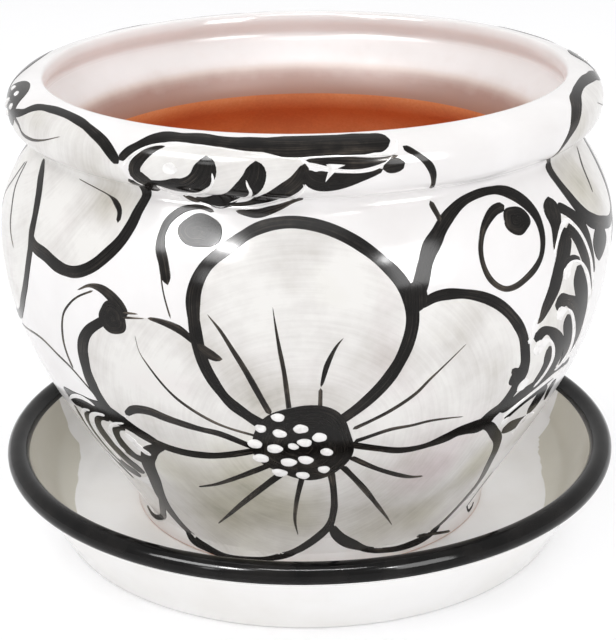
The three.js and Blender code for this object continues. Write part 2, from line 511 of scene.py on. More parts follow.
@dataclass
class Solid:
    """Closed surfaces that become one mesh: vertices in metres, faces, and numbers kept per vertex."""

    vertices: list[np.ndarray] = field(default_factory=list)
    faces: list[Sequence[int]] = field(default_factory=list)
    values: dict[str, list[np.ndarray]] = field(default_factory=dict)
    count: int = 0

    def add(self, vertices: np.ndarray, faces: Iterable[Sequence[int]], **values: np.ndarray) -> None:
        """Adds one closed surface.

        Args:
            vertices: its points.
            faces: its faces, counted from its own first vertex.
            **values: one number or vector per vertex, by attribute name.
        """
        self.vertices.append(vertices)
        start = self.count
        self.faces.extend([tuple(int(i) + start for i in face) for face in faces])
        for name, data in values.items():
            self.values.setdefault(name, []).append(data)
        self.count += len(vertices)

    def piece(self, name: str, material: bpy.types.Material, crease: float = 24.0) -> bpy.types.Object:
        """Makes the object.

        Args:
            name: the piece's name.
            material: its finish.
            crease: faces that meet at a sharper turn than this many degrees show an edge.

        Returns:
            The new object, linked to the scene.
        """
        mesh = bpy.data.meshes.new(name)
        mesh.from_pydata(np.concatenate(self.vertices), [], self.faces)
        for key, blocks in self.values.items():
            data = np.concatenate(blocks)
            kind, slot = ("FLOAT", "value") if data.ndim == 1 else ("FLOAT_VECTOR", "vector")
            mesh.attributes.new(key, kind, "POINT").data.foreach_set(slot, data.ravel().astype(np.float32))
        mesh.polygons.foreach_set("use_smooth", [True] * len(mesh.polygons))
        mesh.set_sharp_from_angle(angle=math.radians(crease))
        mesh.materials.append(material)
        thing = bpy.data.objects.new(name, mesh)
        bpy.context.collection.objects.link(thing)
        return thing


def grid_faces(rows: int, columns: int, wrap_rows: bool, wrap_columns: bool) -> list[tuple[int, ...]]:
    """Lists the quads of a grid of vertices stored row by row.

    Args:
        rows: how many rows.
        columns: how many vertices in each.
        wrap_rows: whether the last row joins the first.
        wrap_columns: whether each row closes on itself.

    Returns:
        Quads that face the side from which row then column turns anticlockwise.
    """
    i = np.arange(rows if wrap_rows else rows - 1)[:, None]
    j = np.arange(columns if wrap_columns else columns - 1)[None, :]
    i2, j2 = (i + 1) % rows, (j + 1) % columns
    corners = [i * columns + j, i2 * columns + j, i2 * columns + j2, i * columns + j2]
    quads = np.stack([np.broadcast_to(c, (i.size, j.size)) for c in corners], -1)
    return [tuple(q) for q in quads.reshape(-1, 4).tolist()]


def turn(points: Sequence[Place], segments: int, **values: np.ndarray) -> Solid:
    """Turns an outline round the Z axis.

    Args:
        points: radius and height, up the outside and back down the inside. An outline whose two ends lie on
            the axis is closed there; any other closes on itself.
        segments: how many steps round.
        **values: one number per point of the outline, by attribute name.

    Returns:
        The closed solid.
    """
    outline = np.array(points, float)
    poled = outline[0, 0] == 0 and outline[-1, 0] == 0
    rings = outline[1:-1] if poled else outline
    azimuth = np.arange(segments) / segments * 2 * math.pi
    x = np.sin(azimuth)[:, None] * rings[None, :, 0]
    y = -np.cos(azimuth)[:, None] * rings[None, :, 0]
    z = np.broadcast_to(rings[None, :, 1], x.shape)
    vertices = np.stack([x, y, z], -1).reshape(-1, 3)
    count = len(rings)
    faces = grid_faces(segments, count, True, not poled)
    spread = {name: np.tile(data[1:-1] if poled else data, segments) for name, data in values.items()}
    if poled:
        low, high = len(vertices), len(vertices) + 1
        ends = [(0.0, 0.0, outline[0, 1]), (0.0, 0.0, outline[-1, 1])]
        vertices = np.concatenate([vertices, np.array(ends)])
        spread = {name: np.append(data, [values[name][0], values[name][-1]]) for name, data in spread.items()}
        for i in range(segments):
            after = (i + 1) % segments
            faces.append((i * count, low, after * count))
            faces.append((i * count + count - 1, after * count + count - 1, high))
    solid = Solid()
    solid.add(vertices * MM, faces, **spread)
    return solid


def inset(points: Sequence[Place], depth: float) -> list[Place]:
    """Moves an open outline inward, away from its outer side.

    Args:
        points: radius and height, going up the outside.
        depth: how far to move it.

    Returns:
        The moved points, one for each.
    """
    wall = Wall(points)
    radius, height = wall.along(wall.stations, -depth)
    return list(zip(radius.tolist(), height.tolist()))


@dataclass
class Pot:
    """The thrown pot: its form in millimetres, its clay and its glaze coat."""

    foot_radius: float = BELLY_RADIUS * 0.6
    foot_height: float = 5.5
    foot_taper: float = 0.5
    belly_rise: float = 112.5
    flare_reach: float = 24.0
    shoulder_rise: float = 38.5
    neck_radius: float = 104.8
    groove_radius: float = 106.05
    groove_low: float = 154.0
    groove_high: float = 159.0
    groove_depth: float = 2.5
    collar_radius: float = 114.2
    collar_level: float = 170.5
    collar_tuck: Place = (7.52, 2.1)
    collar_drop: float = 6.3
    crest: Place = (101.5, 179.85)
    mouth: Place = (99.5, 176.1)
    channel: Place = (101.4, 169.8)
    channel_overhang: float = 0.95
    shelf: Place = (94.8, 160.9)
    throat: Place = (89.7, 146.0)
    throat_corner: float = 8.5
    inner_belly_radius: float = 109.0
    floor_radius: float = 60.5
    floor_level: float = 12.0
    floor_corner: float = 11.0
    drain_radius: float = 9.0
    foot_recess: float = 2.2
    recess_radius: float = 58.8
    ring_radius: float = 61.0
    glaze_start: float = 0.1
    clay_depth: float = 0.25
    coat_depth: float = 0.5
    segments: int = 360
    # How thick the glaze lies: by distance up the wall, and by level inside the mouth.
    foot_glaze: tuple[Place, ...] = ((0, 0.72), (3, 0.8), (9, 0.9), (24, 1.0))
    throat_glaze: tuple[Place, ...] = ((152, 0.05), (155, 0.14), (160, 0.27), (164, 0.36), (166.2, 0.62),
                                       (168, 0.84), (170, 0.88), (175, 0.89), (178, 0.96))

    @property
    def belly_level(self) -> float:
        """Height of the widest ring over the foot."""
        return self.foot_height + self.belly_rise

    def raised(self, outline: Outline) -> list[Place]:
        """Lifts an outline from the foot's own level to where the pot stands."""
        return [(r, h + FOOT_LEVEL) for r, h in outline.points]

    def outside(self) -> Outline:
        """Draws the outside, from the foot's lower edge to the crest."""
        top = self.foot_radius - self.foot_taper
        lower = self.belly_level
        return (
            Outline(self.foot_radius, 0)
            .line(self.foot_radius, self.foot_height / 2, 2)
            .line(top, self.foot_height, 2)
            .bezier((top + self.flare_reach, self.foot_height + 0.355 * self.belly_rise),
                    (BELLY_RADIUS, self.foot_height + 0.618 * self.belly_rise), (BELLY_RADIUS, lower), 56)
            .bezier((BELLY_RADIUS, lower + 0.47 * self.shoulder_rise),
                    (self.groove_radius + 0.18 * self.shoulder_rise,
                     self.groove_low - 0.26 * self.shoulder_rise),
                    (self.groove_radius, self.groove_low), 22)
            .bend((self.groove_radius - self.groove_depth, (self.groove_low + self.groove_high) / 2),
                  (self.groove_radius, self.groove_high), 10)
            .bezier((self.neck_radius + self.collar_tuck[0], self.groove_high + self.collar_tuck[1]),
                    (self.collar_radius, self.collar_level - self.collar_drop),
                    (self.collar_radius, self.collar_level), 14)
            .arc((self.crest[0], self.collar_level),
                 (self.collar_radius - self.crest[0], self.crest[1] - self.collar_level), 0, 90, 18)
        )

    def lip(self, outline: Outline) -> Outline:
        """Goes on from the crest over the lip, the channel and the shelf, to the throat."""
        mouth, channel, shelf, throat = self.mouth, self.channel, self.shelf, self.throat
        drop = mouth[1] - channel[1]
        step = channel[1] - shelf[1]
        neck = shelf[0] - throat[0]
        run = shelf[1] - throat[1]
        overhang = self.channel_overhang
        return (
            outline
            .arc((self.crest[0], mouth[1]), (self.crest[0] - mouth[0], self.crest[1] - mouth[1]), 90, 180, 8)
            .bezier((mouth[0], mouth[1] - 0.5 * drop), (channel[0] + overhang, channel[1] + 0.4 * drop),
                    channel, 8)
            .bezier((channel[0] - overhang, channel[1] - 0.3 * step),
                    (shelf[0] + 0.25 * step, shelf[1] + 0.35 * step), shelf, 10)
            .bezier((shelf[0] - 0.3 * neck, shelf[1] - 0.17 * run), (throat[0], throat[1] + 0.4 * run),
                    throat, 12)
        )

    def inside(self, start: Place) -> Outline:
        """Draws what stays bare: below the throat, the floor, the drain hole and the foot ring."""
        corner, level = self.throat_corner, self.throat[1]
        floor_edge = self.floor_radius
        return (
            Outline(*start)
            .bezier((self.throat[0], level - 0.4 * corner),
                    (self.throat[0] + 0.35 * corner, level - 0.8 * corner),
                    (self.throat[0] + 0.7 * corner, level - 1.05 * corner), 8)
            .bezier((self.throat[0] + 1.7 * corner, level - 1.8 * corner),
                    (self.inner_belly_radius, self.belly_level + 0.2 * self.shoulder_rise),
                    (self.inner_belly_radius, self.belly_level - 0.12 * self.belly_rise), 14)
            .bezier((self.inner_belly_radius, self.foot_height + 0.6 * self.belly_rise),
                    (floor_edge + self.flare_reach, self.foot_height + 0.4 * self.belly_rise),
                    (floor_edge + 0.2 * self.floor_corner, self.floor_level + self.floor_corner), 30)
            .bend((floor_edge - 0.4 * self.floor_corner, self.floor_level),
                  (floor_edge - 1.4 * self.floor_corner, self.floor_level), 10)
            .line(self.drain_radius, self.floor_level, 3)
            .line(self.drain_radius, self.foot_recess)
            .line(self.recess_radius, self.foot_recess, 3)
            .line(self.ring_radius, 0)
            .line(self.foot_radius, 0)
        )

    def wall(self) -> Wall:
        """Gives the wall that the brushwork lies on, from the foot over the crest to the mouth."""
        return Wall(self.raised(self.lip(self.outside())))

    def cover(self, points: Sequence[Place]) -> np.ndarray:
        """Says how thick the glaze lies at each point of the coat.

        Args:
            points: the coat's outline, raised to where the pot stands.

        Returns:
            One number from 0 to 1 for each point.
        """
        wall = Wall(points)
        mouth = (self.mouth[0], self.mouth[1] + FOOT_LEVEL)
        mouth_station = wall.stations[int(np.argmin(np.hypot(*(wall.points - mouth).T)))]
        outside = np.interp(wall.stations, *zip(*self.foot_glaze))
        inner = np.interp(wall.points[:, 1], *zip(*self.throat_glaze))
        return np.where(wall.stations > mouth_station, inner, outside)

    def build(self) -> tuple[bpy.types.Object, bpy.types.Object]:
        """Makes the clay body and the glaze coat, and returns both."""
        whole = self.raised(self.lip(self.outside()))
        lowest = FOOT_LEVEL + self.glaze_start
        skin = [(self.foot_radius, lowest)] + [p for p in whole if p[1] > lowest]
        back = inset(skin, self.coat_depth)
        cover = self.cover(skin)
        coat = turn(skin + back[::-1], self.segments, glaze_cover=np.concatenate([cover, cover[::-1]]))
        glaze = coat.piece("pot_glaze_coat", TinGlaze().material())
        bare = self.raised(self.inside(self.throat))
        hidden = inset(skin, self.clay_depth)
        clay = turn(hidden + bare, self.segments // 2).piece("pot_clay_body", Terracotta().material())
        for thing, slot in ((glaze, Finishing.MAJOLICA), (clay, Finishing.TERRACOTTA)):
            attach(thing, "pot")
            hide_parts("pot")
            LOG.info("made %s with %d faces", thing.name, len(thing.data.polygons))
        return clay, glaze


@dataclass
class Saucer:
    """The thrown saucer: its form in millimetres, its glazed body and its black banded rim."""

    base_radius: float = 103.0
    base_edge: float = 1.2
    base_ring: float = 8.0
    base_recess: float = 1.8
    recess_slope: float = 1.8
    base_lean: float = 0.48
    flare: float = 22.2
    bead_radius: float = 4.4
    bead_level: float = 32.7
    bead_start: float = -125.0
    bead_end: float = 195.0
    well_radius: float = 94.0
    well_level: float = 8.2
    well_depth: float = 24.5
    band_start: float = -35.0
    band_end: float = 187.0
    band_depth: float = 0.25
    band_steps: int = 24
    # How the brush strayed from the band's two edges: degrees of the bead, waves round it, phase.
    low_stray: tuple[tuple[float, int, float], ...] = ((2.2, 3, 0.4), (1.2, 7, 2.0), (0.7, 17, 0.0))
    high_stray: tuple[tuple[float, int, float], ...] = ((2.0, 2, 1.3), (1.4, 9, 0.0), (0.6, 23, 1.0))
    # Where the pot's shade is painted olive grey on the well's inner flank: azimuth from the front in
    # degrees, radius out from which it lies.
    pot_shade_edge: tuple[Place, ...] = ((55, 122), (72, 98.5), (92, 98.5), (97, 100), (104, 102.6), (108, 106),
                                    (110, 118))
    pot_shade_fade: float = 1.6
    segments: int = 360

    @property
    def bead_centre(self) -> Place:
        """Radius and level of the bead's centre."""
        return SAUCER_RADIUS - self.bead_radius, self.bead_level

    def bead_point(self, angle: float, depth: float = 0.0) -> Place:
        """Gives the point of the bead's surface at an angle in degrees, or below it by depth."""
        a = math.radians(angle)
        radius = self.bead_radius - depth
        return self.bead_centre[0] + radius * math.cos(a), self.bead_centre[1] + radius * math.sin(a)

    def outline(self) -> Outline:
        """Draws the saucer from the middle of its underside to the middle of its well."""
        low = self.bead_point(self.bead_start)
        high = self.bead_point(self.bead_end)
        edge = (self.base_radius + self.base_lean, self.base_edge)
        return (
            Outline(0, self.base_recess)
            .line(self.base_radius - self.base_ring - self.recess_slope, self.base_recess, 4)
            .line(self.base_radius - self.base_ring, 0)
            .line(self.base_radius - self.base_edge, 0)
            .bend((self.base_radius, 0), edge, 4)
            .bezier((self.base_radius + 0.25 * self.flare, 0.38 * low[1]),
                    (low[0] - 0.12 * self.flare, 0.68 * low[1]), low, 16)
            .arc(self.bead_centre, (self.bead_radius, self.bead_radius), self.bead_start, self.bead_end, 40)
            .bezier((high[0] - 0.12 * self.flare, high[1] - 0.5 * self.well_depth),
                    (self.well_radius + 0.6 * self.flare, self.well_level),
                    (self.well_radius, self.well_level), 20)
            .line(0, self.well_level, 6)
        )

    def build(self) -> tuple[bpy.types.Object, bpy.types.Object]:
        """Makes the glazed body and the black rim, and returns both."""
        points, inward = [], []
        for r, h in self.outline().points:
            angle = math.degrees(math.atan2(h - self.bead_centre[1], r - self.bead_centre[0]))
            on_bead = abs(math.dist((r, h), self.bead_centre) - self.bead_radius) < 0.01
            under_band = on_bead and self.band_start < angle < self.band_end
            points.append(self.bead_point(angle, self.band_depth) if under_band else (r, h))
            inward.append(float(any(inward) or (on_bead and angle > 90)))
        # The saucer's inner flank beside the pot gets a painted shade, olive grey.
        body = turn(points, self.segments, glaze_cover=np.ones(len(points)), glaze_pool=np.array(inward))
        body.values["glaze_pool"][0] *= self.pool(body.vertices[0] / MM)
        # The saucer's glaze is painted paler than the pot's same glaze, as painted light for its well, which
        # lies in the pot's shade.
        glazed = body.piece("saucer_body", TinGlaze(name="saucer_tin_glaze_painted_light", full="#FCFBFA", cloud="#F9F8F6",
                                                    cloud_size=42.0).material())
        rim = self.band().piece("saucer_black_rim", RimGlaze().material())
        for thing in (glazed, rim):
            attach(thing, "saucer")
            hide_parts("saucer")
            LOG.info("made %s with %d faces", thing.name, len(thing.data.polygons))
        return glazed, rim

    def pool(self, points: np.ndarray) -> np.ndarray:
        """Says where the pot's shade is painted olive grey, on the inner flank beside the pot.

        Args:
            points: vertices of the saucer in millimetres.

        Returns:
            One number for each, from 0 for none to 1.
        """
        radius = np.hypot(points[:, 0], points[:, 1])
        azimuth = np.degrees(np.arctan2(np.abs(points[:, 0]), -points[:, 1]))
        edge = np.interp(azimuth, *zip(*self.pot_shade_edge))
        return np.clip((radius - edge) / self.pot_shade_fade + 0.5, 0, 1)

    def band(self) -> Solid:
        """Turns the black band: a thin closed shell over the bead, with edges that a hand held brush left."""
        azimuth = np.arange(self.segments) / self.segments * 2 * math.pi
        low, high = (
            edge + sum(reach * np.sin(waves * azimuth + phase) for reach, waves, phase in stray)
            for edge, stray in ((self.band_start, self.low_stray), (self.band_end, self.high_stray))
        )
        share = np.linspace(0, 1, self.band_steps + 1)
        angles = np.radians(low[:, None] + (high - low)[:, None] * share[None, :])
        angles = np.concatenate([angles, angles[:, ::-1]], axis=1)
        skin = np.full(len(share), self.bead_radius)
        under = np.full(len(share), self.bead_radius - 2 * self.band_depth)
        radius = np.concatenate([skin, under])[None, :]
        out = self.bead_centre[0] + radius * np.cos(angles)
        up = self.bead_centre[1] + radius * np.sin(angles)
        x, y = out * np.sin(azimuth)[:, None], -out * np.cos(azimuth)[:, None]
        solid = Solid()
        solid.add(np.stack([x, y, up], -1).reshape(-1, 3) * MM,
                  grid_faces(self.segments, 2 * len(share), True, True))
        return solid


# Brushwork


@dataclass(frozen=True)
class Placement:
    """Where a motif goes round the pot: u becomes origin + gain * u, with a slow drift of the hand."""

    origin: float = 0.0
    gain: float = 1.0
    drift: float = 0.0
    seed: int = 0
    rise: float = 0.0

    def move(self, u: np.ndarray, v: np.ndarray) -> tuple[np.ndarray, np.ndarray]:
        """Moves places of a motif to where they are painted.

        Args:
            u: the motif's own distances round.
            v: distances up the wall.

        Returns:
            The places on the wall.
        """
        phase = 1.7 * self.seed
        moved_u = self.origin + self.gain * u + self.drift * np.sin(v / 31 + phase)
        moved_v = v + self.rise + 0.7 * self.drift * np.sin(u / 43 + 2 * phase)
        return moved_u, moved_v


def pad_faces(rings: int, count: int) -> list[tuple[int, ...]]:
    """Lists the faces of a flat pad: rings of vertices above, as many below, then a middle above and below.

    Args:
        rings: how many rings lie on each side, the last of them the rim.
        count: how many vertices are in each.

    Returns:
        The faces, turned outward.
    """
    above = grid_faces(rings, count, False, True)
    block = rings * count
    faces = above + [tuple(block + i for i in reversed(face)) for face in above]
    last = block - count
    for i in range(count):
        after = (i + 1) % count
        faces.append((last + i, block + last + i, block + last + after, last + after))
        faces.append((2 * block, i, after))
        faces.append((2 * block + 1, block + after, block + i))
    return faces


def smooth_path(points: np.ndarray, closed: bool, step: float) -> np.ndarray:
    """Draws an even, smooth line through a few points.

    Args:
        points: rows of place and anything else that varies along the line.
        closed: whether it comes back to its start.
        step: distance between the points that come back.

    Returns:
        Rows like those given, closer together.
    """
    count = len(points)
    if closed:
        padded = np.concatenate([points[-1:], points, points[:2]])
    else:
        padded = np.concatenate([2 * points[:1] - points[1:2], points, 2 * points[-1:] - points[-2:-1]])
    fine = []
    for i in range(count if closed else count - 1):
        p0, p1, p2, p3 = padded[i:i + 4]
        gaps = [max(math.dist(a[:2], b[:2]), 1e-3) ** 0.5 for a, b in ((p0, p1), (p1, p2), (p2, p3))]
        t0, t1 = 0.0, gaps[0]
        t2, t3 = t1 + gaps[1], t1 + gaps[1] + gaps[2]
        t = np.linspace(t1, t2, CURVE_STEPS + 1)[:-1, None]
        a1 = (t1 - t) / (t1 - t0) * p0 + (t - t0) / (t1 - t0) * p1
        a2 = (t2 - t) / (t2 - t1) * p1 + (t - t1) / (t2 - t1) * p2
        a3 = (t3 - t) / (t3 - t2) * p2 + (t - t2) / (t3 - t2) * p3
        b1 = (t2 - t) / (t2 - t0) * a1 + (t - t0) / (t2 - t0) * a2
        b2 = (t3 - t) / (t3 - t1) * a2 + (t - t1) / (t3 - t1) * a3
        fine.append((t2 - t) / (t2 - t1) * b1 + (t - t1) / (t2 - t1) * b2)
    line = np.concatenate(fine + ([points[:1]] if closed else [points[-1:]]))
    run = np.concatenate([[0.0], np.cumsum(np.hypot(*np.diff(line[:, :2], axis=0).T))])
    even = np.linspace(0, run[-1], max(4, int(run[-1] / step) + 2))
    result = np.stack([np.interp(even, run, line[:, k]) for k in range(line.shape[1])], -1)
    return result[:-1] if closed else result


def places(stroke: Path) -> list[Place]:
    """Gives the places along a stroke, without its widths."""
    return [(u, v) for u, v, _ in stroke]


def mirrored(edge: Sequence[Place]) -> list[Place]:
    """Gives the same edge on the other side of u = 0, in the opposite order."""
    return [(-u, v) for u, v in reversed(edge)]


class Paint:
    """Strokes and washes of one pigment, laid on the wall as thin closed solids in one mesh.

    Lengths are in millimetres. The hand's unevenness runs from knot to knot along a stroke.
    """

    # How far the faces of neighbouring strokes stand apart, and how deep their undersides lie in the coat.
    LEVEL_STEP = 0.005
    LEVELS = 12
    STROKE_ROOT = 0.12
    WASH_ROOT = 0.15
    # The cross section: bevelled edges, and where the vertices of its face and its underside lie.
    LEAST_WIDTH = 0.25
    BEVEL = 0.18
    BEVEL_SHARE = 0.3
    ROWS_ACROSS = (-1.0, -0.55, 0.0, 0.55, 1.0)
    ROOT_SHARE = 0.9
    EDGE_WIDTH = 0.15
    # How width and pigment vary along a stroke, how dry a thin one is, and what sets its hairs apart.
    WOBBLE = 0.05
    WOBBLE_LENGTH = 6.0
    LOAD_DRIFT = 0.045
    LOAD_LENGTH = 16.0
    DRY_WIDTH = 3.0
    DRYNESS = 0.26
    MARK_STEP = 3.7

    def __init__(self, wall: Wall, placement: Placement, lift: float, smears: Sequence[Smear] = ()) -> None:
        """Starts an empty set of strokes.

        Args:
            wall: the surface that they lie on.
            placement: where the motif goes.
            lift: how far the paint's face stands off the surface.
            smears: places where washes differ, with their reach in millimetres, extra pigment and hue.
        """
        self.wall = wall
        self.placement = placement
        self.lift = lift
        self.smears = smears
        self.solid = Solid()
        self.strokes = 0
        self.random = np.random.default_rng(placement.seed * 101 + int(lift * 1000))

    def next_lift(self) -> float:
        """Gives each stroke its own level, so that no two faces lie in one another."""
        self.strokes += 1
        return self.lift + self.LEVEL_STEP * (self.strokes % self.LEVELS)

    def own_mark(self) -> float:
        """Gives the number that sets this stroke's brush hairs apart from the others'."""
        return self.strokes * self.MARK_STEP + self.placement.seed

    def spot(self, u: float, v: float) -> np.ndarray:
        """Moves one place of the motif to where it is painted."""
        return np.array(self.placement.move(np.array([u]), np.array([v])))[:, 0]

    def breadth(self, drawn: np.ndarray, run: np.ndarray) -> np.ndarray:
        """Works out how broad a stroke is along its way, uneven as by hand and rounded at its ends.

        Args:
            drawn: the widths that it was given.
            run: distances along it.

        Returns:
            Its real widths.
        """
        knots = np.arange(0, run[-1] + self.WOBBLE_LENGTH + 1, self.WOBBLE_LENGTH)
        width = drawn * (1 + self.WOBBLE * np.interp(run, knots, self.random.standard_normal(len(knots))))
        for near in (run, run[-1] - run):
            inside = np.clip(1 - near / np.maximum(width / 2, 0.05), 0, 1)
            width = width * np.sqrt(np.maximum(1 - inside ** 2, 0.02))
        return width

    def load(self, drawn: np.ndarray, run: np.ndarray) -> np.ndarray:
        """Works out how much pigment the brush left along a stroke: it is dry where the stroke is thin.

        Args:
            drawn: the widths that it was given.
            run: distances along it.

        Returns:
            The load, around 0.
        """
        knots = np.arange(0, run[-1] + self.LOAD_LENGTH + 1, self.LOAD_LENGTH)
        load = np.interp(run, knots, self.LOAD_DRIFT * self.random.standard_normal(len(knots)))
        return load - self.DRYNESS * np.clip(1 - drawn / self.DRY_WIDTH, 0, 1)

    def stroke(self, path: Path, swell: float = 1.0, step: float = 1.1) -> "Paint":
        """Lays one brush stroke.

        Args:
            path: places and widths along it, in millimetres.
            swell: a factor on every width.
            step: distance between its cross sections.

        Returns:
            This set of strokes.
        """
        points = np.array(path, float)
        points[:, 0], points[:, 1] = self.placement.move(points[:, 0], points[:, 1])
        line = smooth_path(points, False, step)
        u, v = line[:, 0], line[:, 1]
        spread = self.wall.spread(v)
        du, dv = np.gradient(u) * spread, np.gradient(v)
        pace = np.maximum(np.hypot(du, dv), 1e-6)
        run = np.cumsum(pace)
        run -= run[0]
        width = self.breadth(np.maximum(line[:, 2], self.LEAST_WIDTH) * swell, run)
        half = (width / 2)[:, None]
        bevel = np.minimum(self.BEVEL, self.BEVEL_SHARE * width)[:, None]
        root = self.ROOT_SHARE * half
        offsets = np.concatenate([-half, (half - bevel) * np.array(self.ROWS_ACROSS), half, root, -root], 1)
        level = self.next_lift()
        lifts = np.array([0.0] + [level] * len(self.ROWS_ACROSS) + [0.0] + [-self.STROKE_ROOT] * 2)
        across_u = (-dv / pace / spread)[:, None] * offsets
        across_v = (du / pace)[:, None] * offsets
        corners = self.wall.place(u[:, None] + across_u, v[:, None] + across_v, lifts[None, :])
        rows, columns = offsets.shape
        faces = grid_faces(rows, columns, False, True)
        faces.append(tuple(range(columns)))
        faces.append(tuple(range(rows * columns - 1, (rows - 1) * columns - 1, -1)))
        brush = np.stack([np.broadcast_to(run[:, None], offsets.shape), offsets,
                          np.full(offsets.shape, self.own_mark())], -1).reshape(-1, 3)
        load = np.repeat(self.load(line[:, 2] * swell, run), columns)
        self.solid.add(corners.reshape(-1, 3), faces, brush_place=brush, brush_load=load,
                       brush_hue=np.zeros(len(brush)))
        return self

    def strokes_of(self, paths: Iterable[Path], swell: float = 1.0) -> "Paint":
        """Lays several strokes and returns this set."""
        for path in paths:
            self.stroke(path, swell)
        return self

    def wash(self, edge: Sequence[Place], centre: Place, sweep: Place, pitch: float = 2.4) -> "Paint":
        """Fills a shape that is star-shaped about its centre.

        Args:
            edge: the shape's outline, as a few places.
            centre: a place from which all of the outline can be seen.
            sweep: the place round which the brush swept.
            pitch: spacing of the mesh.

        Returns:
            This set of strokes.
        """
        points = np.array(edge, float)
        points[:, 0], points[:, 1] = self.placement.move(points[:, 0], points[:, 1])
        rim = smooth_path(points, True, pitch)
        return self.fill(rim, self.spot(*centre), pitch, 0.0, self.spot(*sweep))

    def dab(self, u: float, v: float, width: float, height: float, dome: float = 0.0, tilt: float = 0.0,
            pitch: float = 1.0) -> "Paint":
        """Sets one round or oval dab.

        Args:
            u: distance round to its centre.
            v: distance up to its centre.
            width: its real width.
            height: its real height up the wall.
            dome: how far its middle stands above its edge.
            tilt: its turn in degrees.
            pitch: spacing of the mesh.

        Returns:
            This set of strokes.
        """
        middle = self.spot(u, v)
        spread = float(self.wall.spread(np.array([middle[1]]))[0])
        count = max(14, int(math.pi * (width + height) / 2 / pitch))
        angle = np.arange(count) / count * 2 * math.pi
        phases = self.random.uniform(0, 2 * math.pi, 3)
        ragged = 1 + sum(a * np.sin(k * angle + p) for a, k, p in zip((0.05, 0.04, 0.025),
                                                                      (2, 3, 5), phases))
        a, b = width / 2 * ragged * np.cos(angle), height / 2 * ragged * np.sin(angle)
        turn_by = math.radians(tilt)
        x, y = a * math.cos(turn_by) - b * math.sin(turn_by), a * math.sin(turn_by) + b * math.cos(turn_by)
        rim = np.stack([middle[0] + x / spread, middle[1] + y], -1)
        return self.fill(rim, middle, pitch, dome)

    def fill(self, rim: np.ndarray, middle: np.ndarray, pitch: float, dome: float,
             heart: np.ndarray | None = None) -> "Paint":
        """Meshes a filled shape, with a face above and one in the wall.

        Args:
            rim: its outline on the wall.
            middle: a place from which all of the outline can be seen.
            pitch: spacing of the mesh.
            dome: how far its middle stands above its edge.
            heart: the place round which the brush swept; without one it went round the outline.

        Returns:
            This set of strokes.
        """
        area = np.sum(rim[:, 0] * np.roll(rim[:, 1], -1) - np.roll(rim[:, 0], -1) * rim[:, 1])
        if area < 0:
            rim = rim[::-1]
        level = self.next_lift()
        reach = rim - middle
        size = np.linalg.norm(reach, axis=1)
        shares = np.linspace(0, 1, max(3, int(size.max() / pitch)) + 1)[1:-1]
        rise = level + dome * np.sqrt(1 - shares ** 2)
        shares = np.append(shares, [1 - self.EDGE_WIDTH / max(1.0, size.mean()), 1.0])
        rise = np.append(rise, [level + 0.2 * dome, 0.0])
        top = middle[None, None, :] + shares[:, None, None] * reach[None, :, :]
        upper = self.wall.place(top[..., 0], top[..., 1], rise[:, None]).reshape(-1, 3)
        lower = self.wall.place(top[..., 0], top[..., 1], -self.WASH_ROOT).reshape(-1, 3)
        peak = self.wall.place(middle[0:1], middle[1:2], level + dome)
        under = self.wall.place(middle[0:1], middle[1:2], -self.WASH_ROOT)
        around = np.concatenate([[0.0], np.cumsum(np.hypot(*np.diff(rim, axis=0).T))])
        depth = (1 - shares)[:, None] * size[None, :]
        along = np.broadcast_to(around[None, :], depth.shape)
        centre_mark = (0.0, float(size.mean()))
        if heart is not None:
            axis = middle - heart
            along, depth = self.swept(top - heart, axis)
            centre_mark = (0.0, float(np.hypot(*axis)))
        own = self.own_mark()
        brush = np.stack([along, depth, np.full(depth.shape, own)], -1).reshape(-1, 3)
        centre_brush = np.array([[*centre_mark, own]] * 2)
        marks = self.smeared(np.append(top[..., 0].ravel(), middle[0]),
                             np.append(top[..., 1].ravel(), middle[1]))
        load, hue = (np.concatenate([m[:-1], m[:-1], m[-1:], m[-1:]]) for m in marks)
        self.solid.add(np.concatenate([upper, lower, peak, under]), pad_faces(len(shares), len(rim)),
                       brush_place=np.concatenate([brush, brush, centre_brush]), brush_load=load,
                       brush_hue=hue)
        return self

    def swept(self, arms: np.ndarray, axis: np.ndarray) -> tuple[np.ndarray, np.ndarray]:
        """Measures places by brush marks that sweep round a heart.

        Args:
            arms: the places, counted from the heart.
            axis: the direction from which the sweep is counted.

        Returns:
            Distances along the marks and across them.
        """
        reach = np.hypot(arms[..., 0], arms[..., 1])
        angle = np.arctan2(arms[..., 1], arms[..., 0]) - math.atan2(axis[1], axis[0])
        return np.arctan2(np.sin(angle), np.cos(angle)) * reach, reach

    def smeared(self, u: np.ndarray, v: np.ndarray) -> tuple[np.ndarray, np.ndarray]:
        """Says how much extra pigment the smears leave at places on the wall, and of what hue."""
        load, hue = np.zeros(u.shape), np.zeros(u.shape)
        for near_u, near_v, reach, strength, lean in self.smears:
            middle_u, middle_v = self.spot(near_u, near_v)
            share = np.exp(-((u - middle_u) ** 2 + (v - middle_v) ** 2) / reach ** 2)
            load += strength * share
            hue += lean * share
        return load, hue

    def piece(self, name: str, material: bpy.types.Material) -> bpy.types.Object:
        """Makes the piece, sets it on the pot and reports it."""
        thing = self.solid.piece(name, material)
        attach(thing, "pot")
        LOG.info("painted %s with %d strokes", name, self.strokes)
        return thing


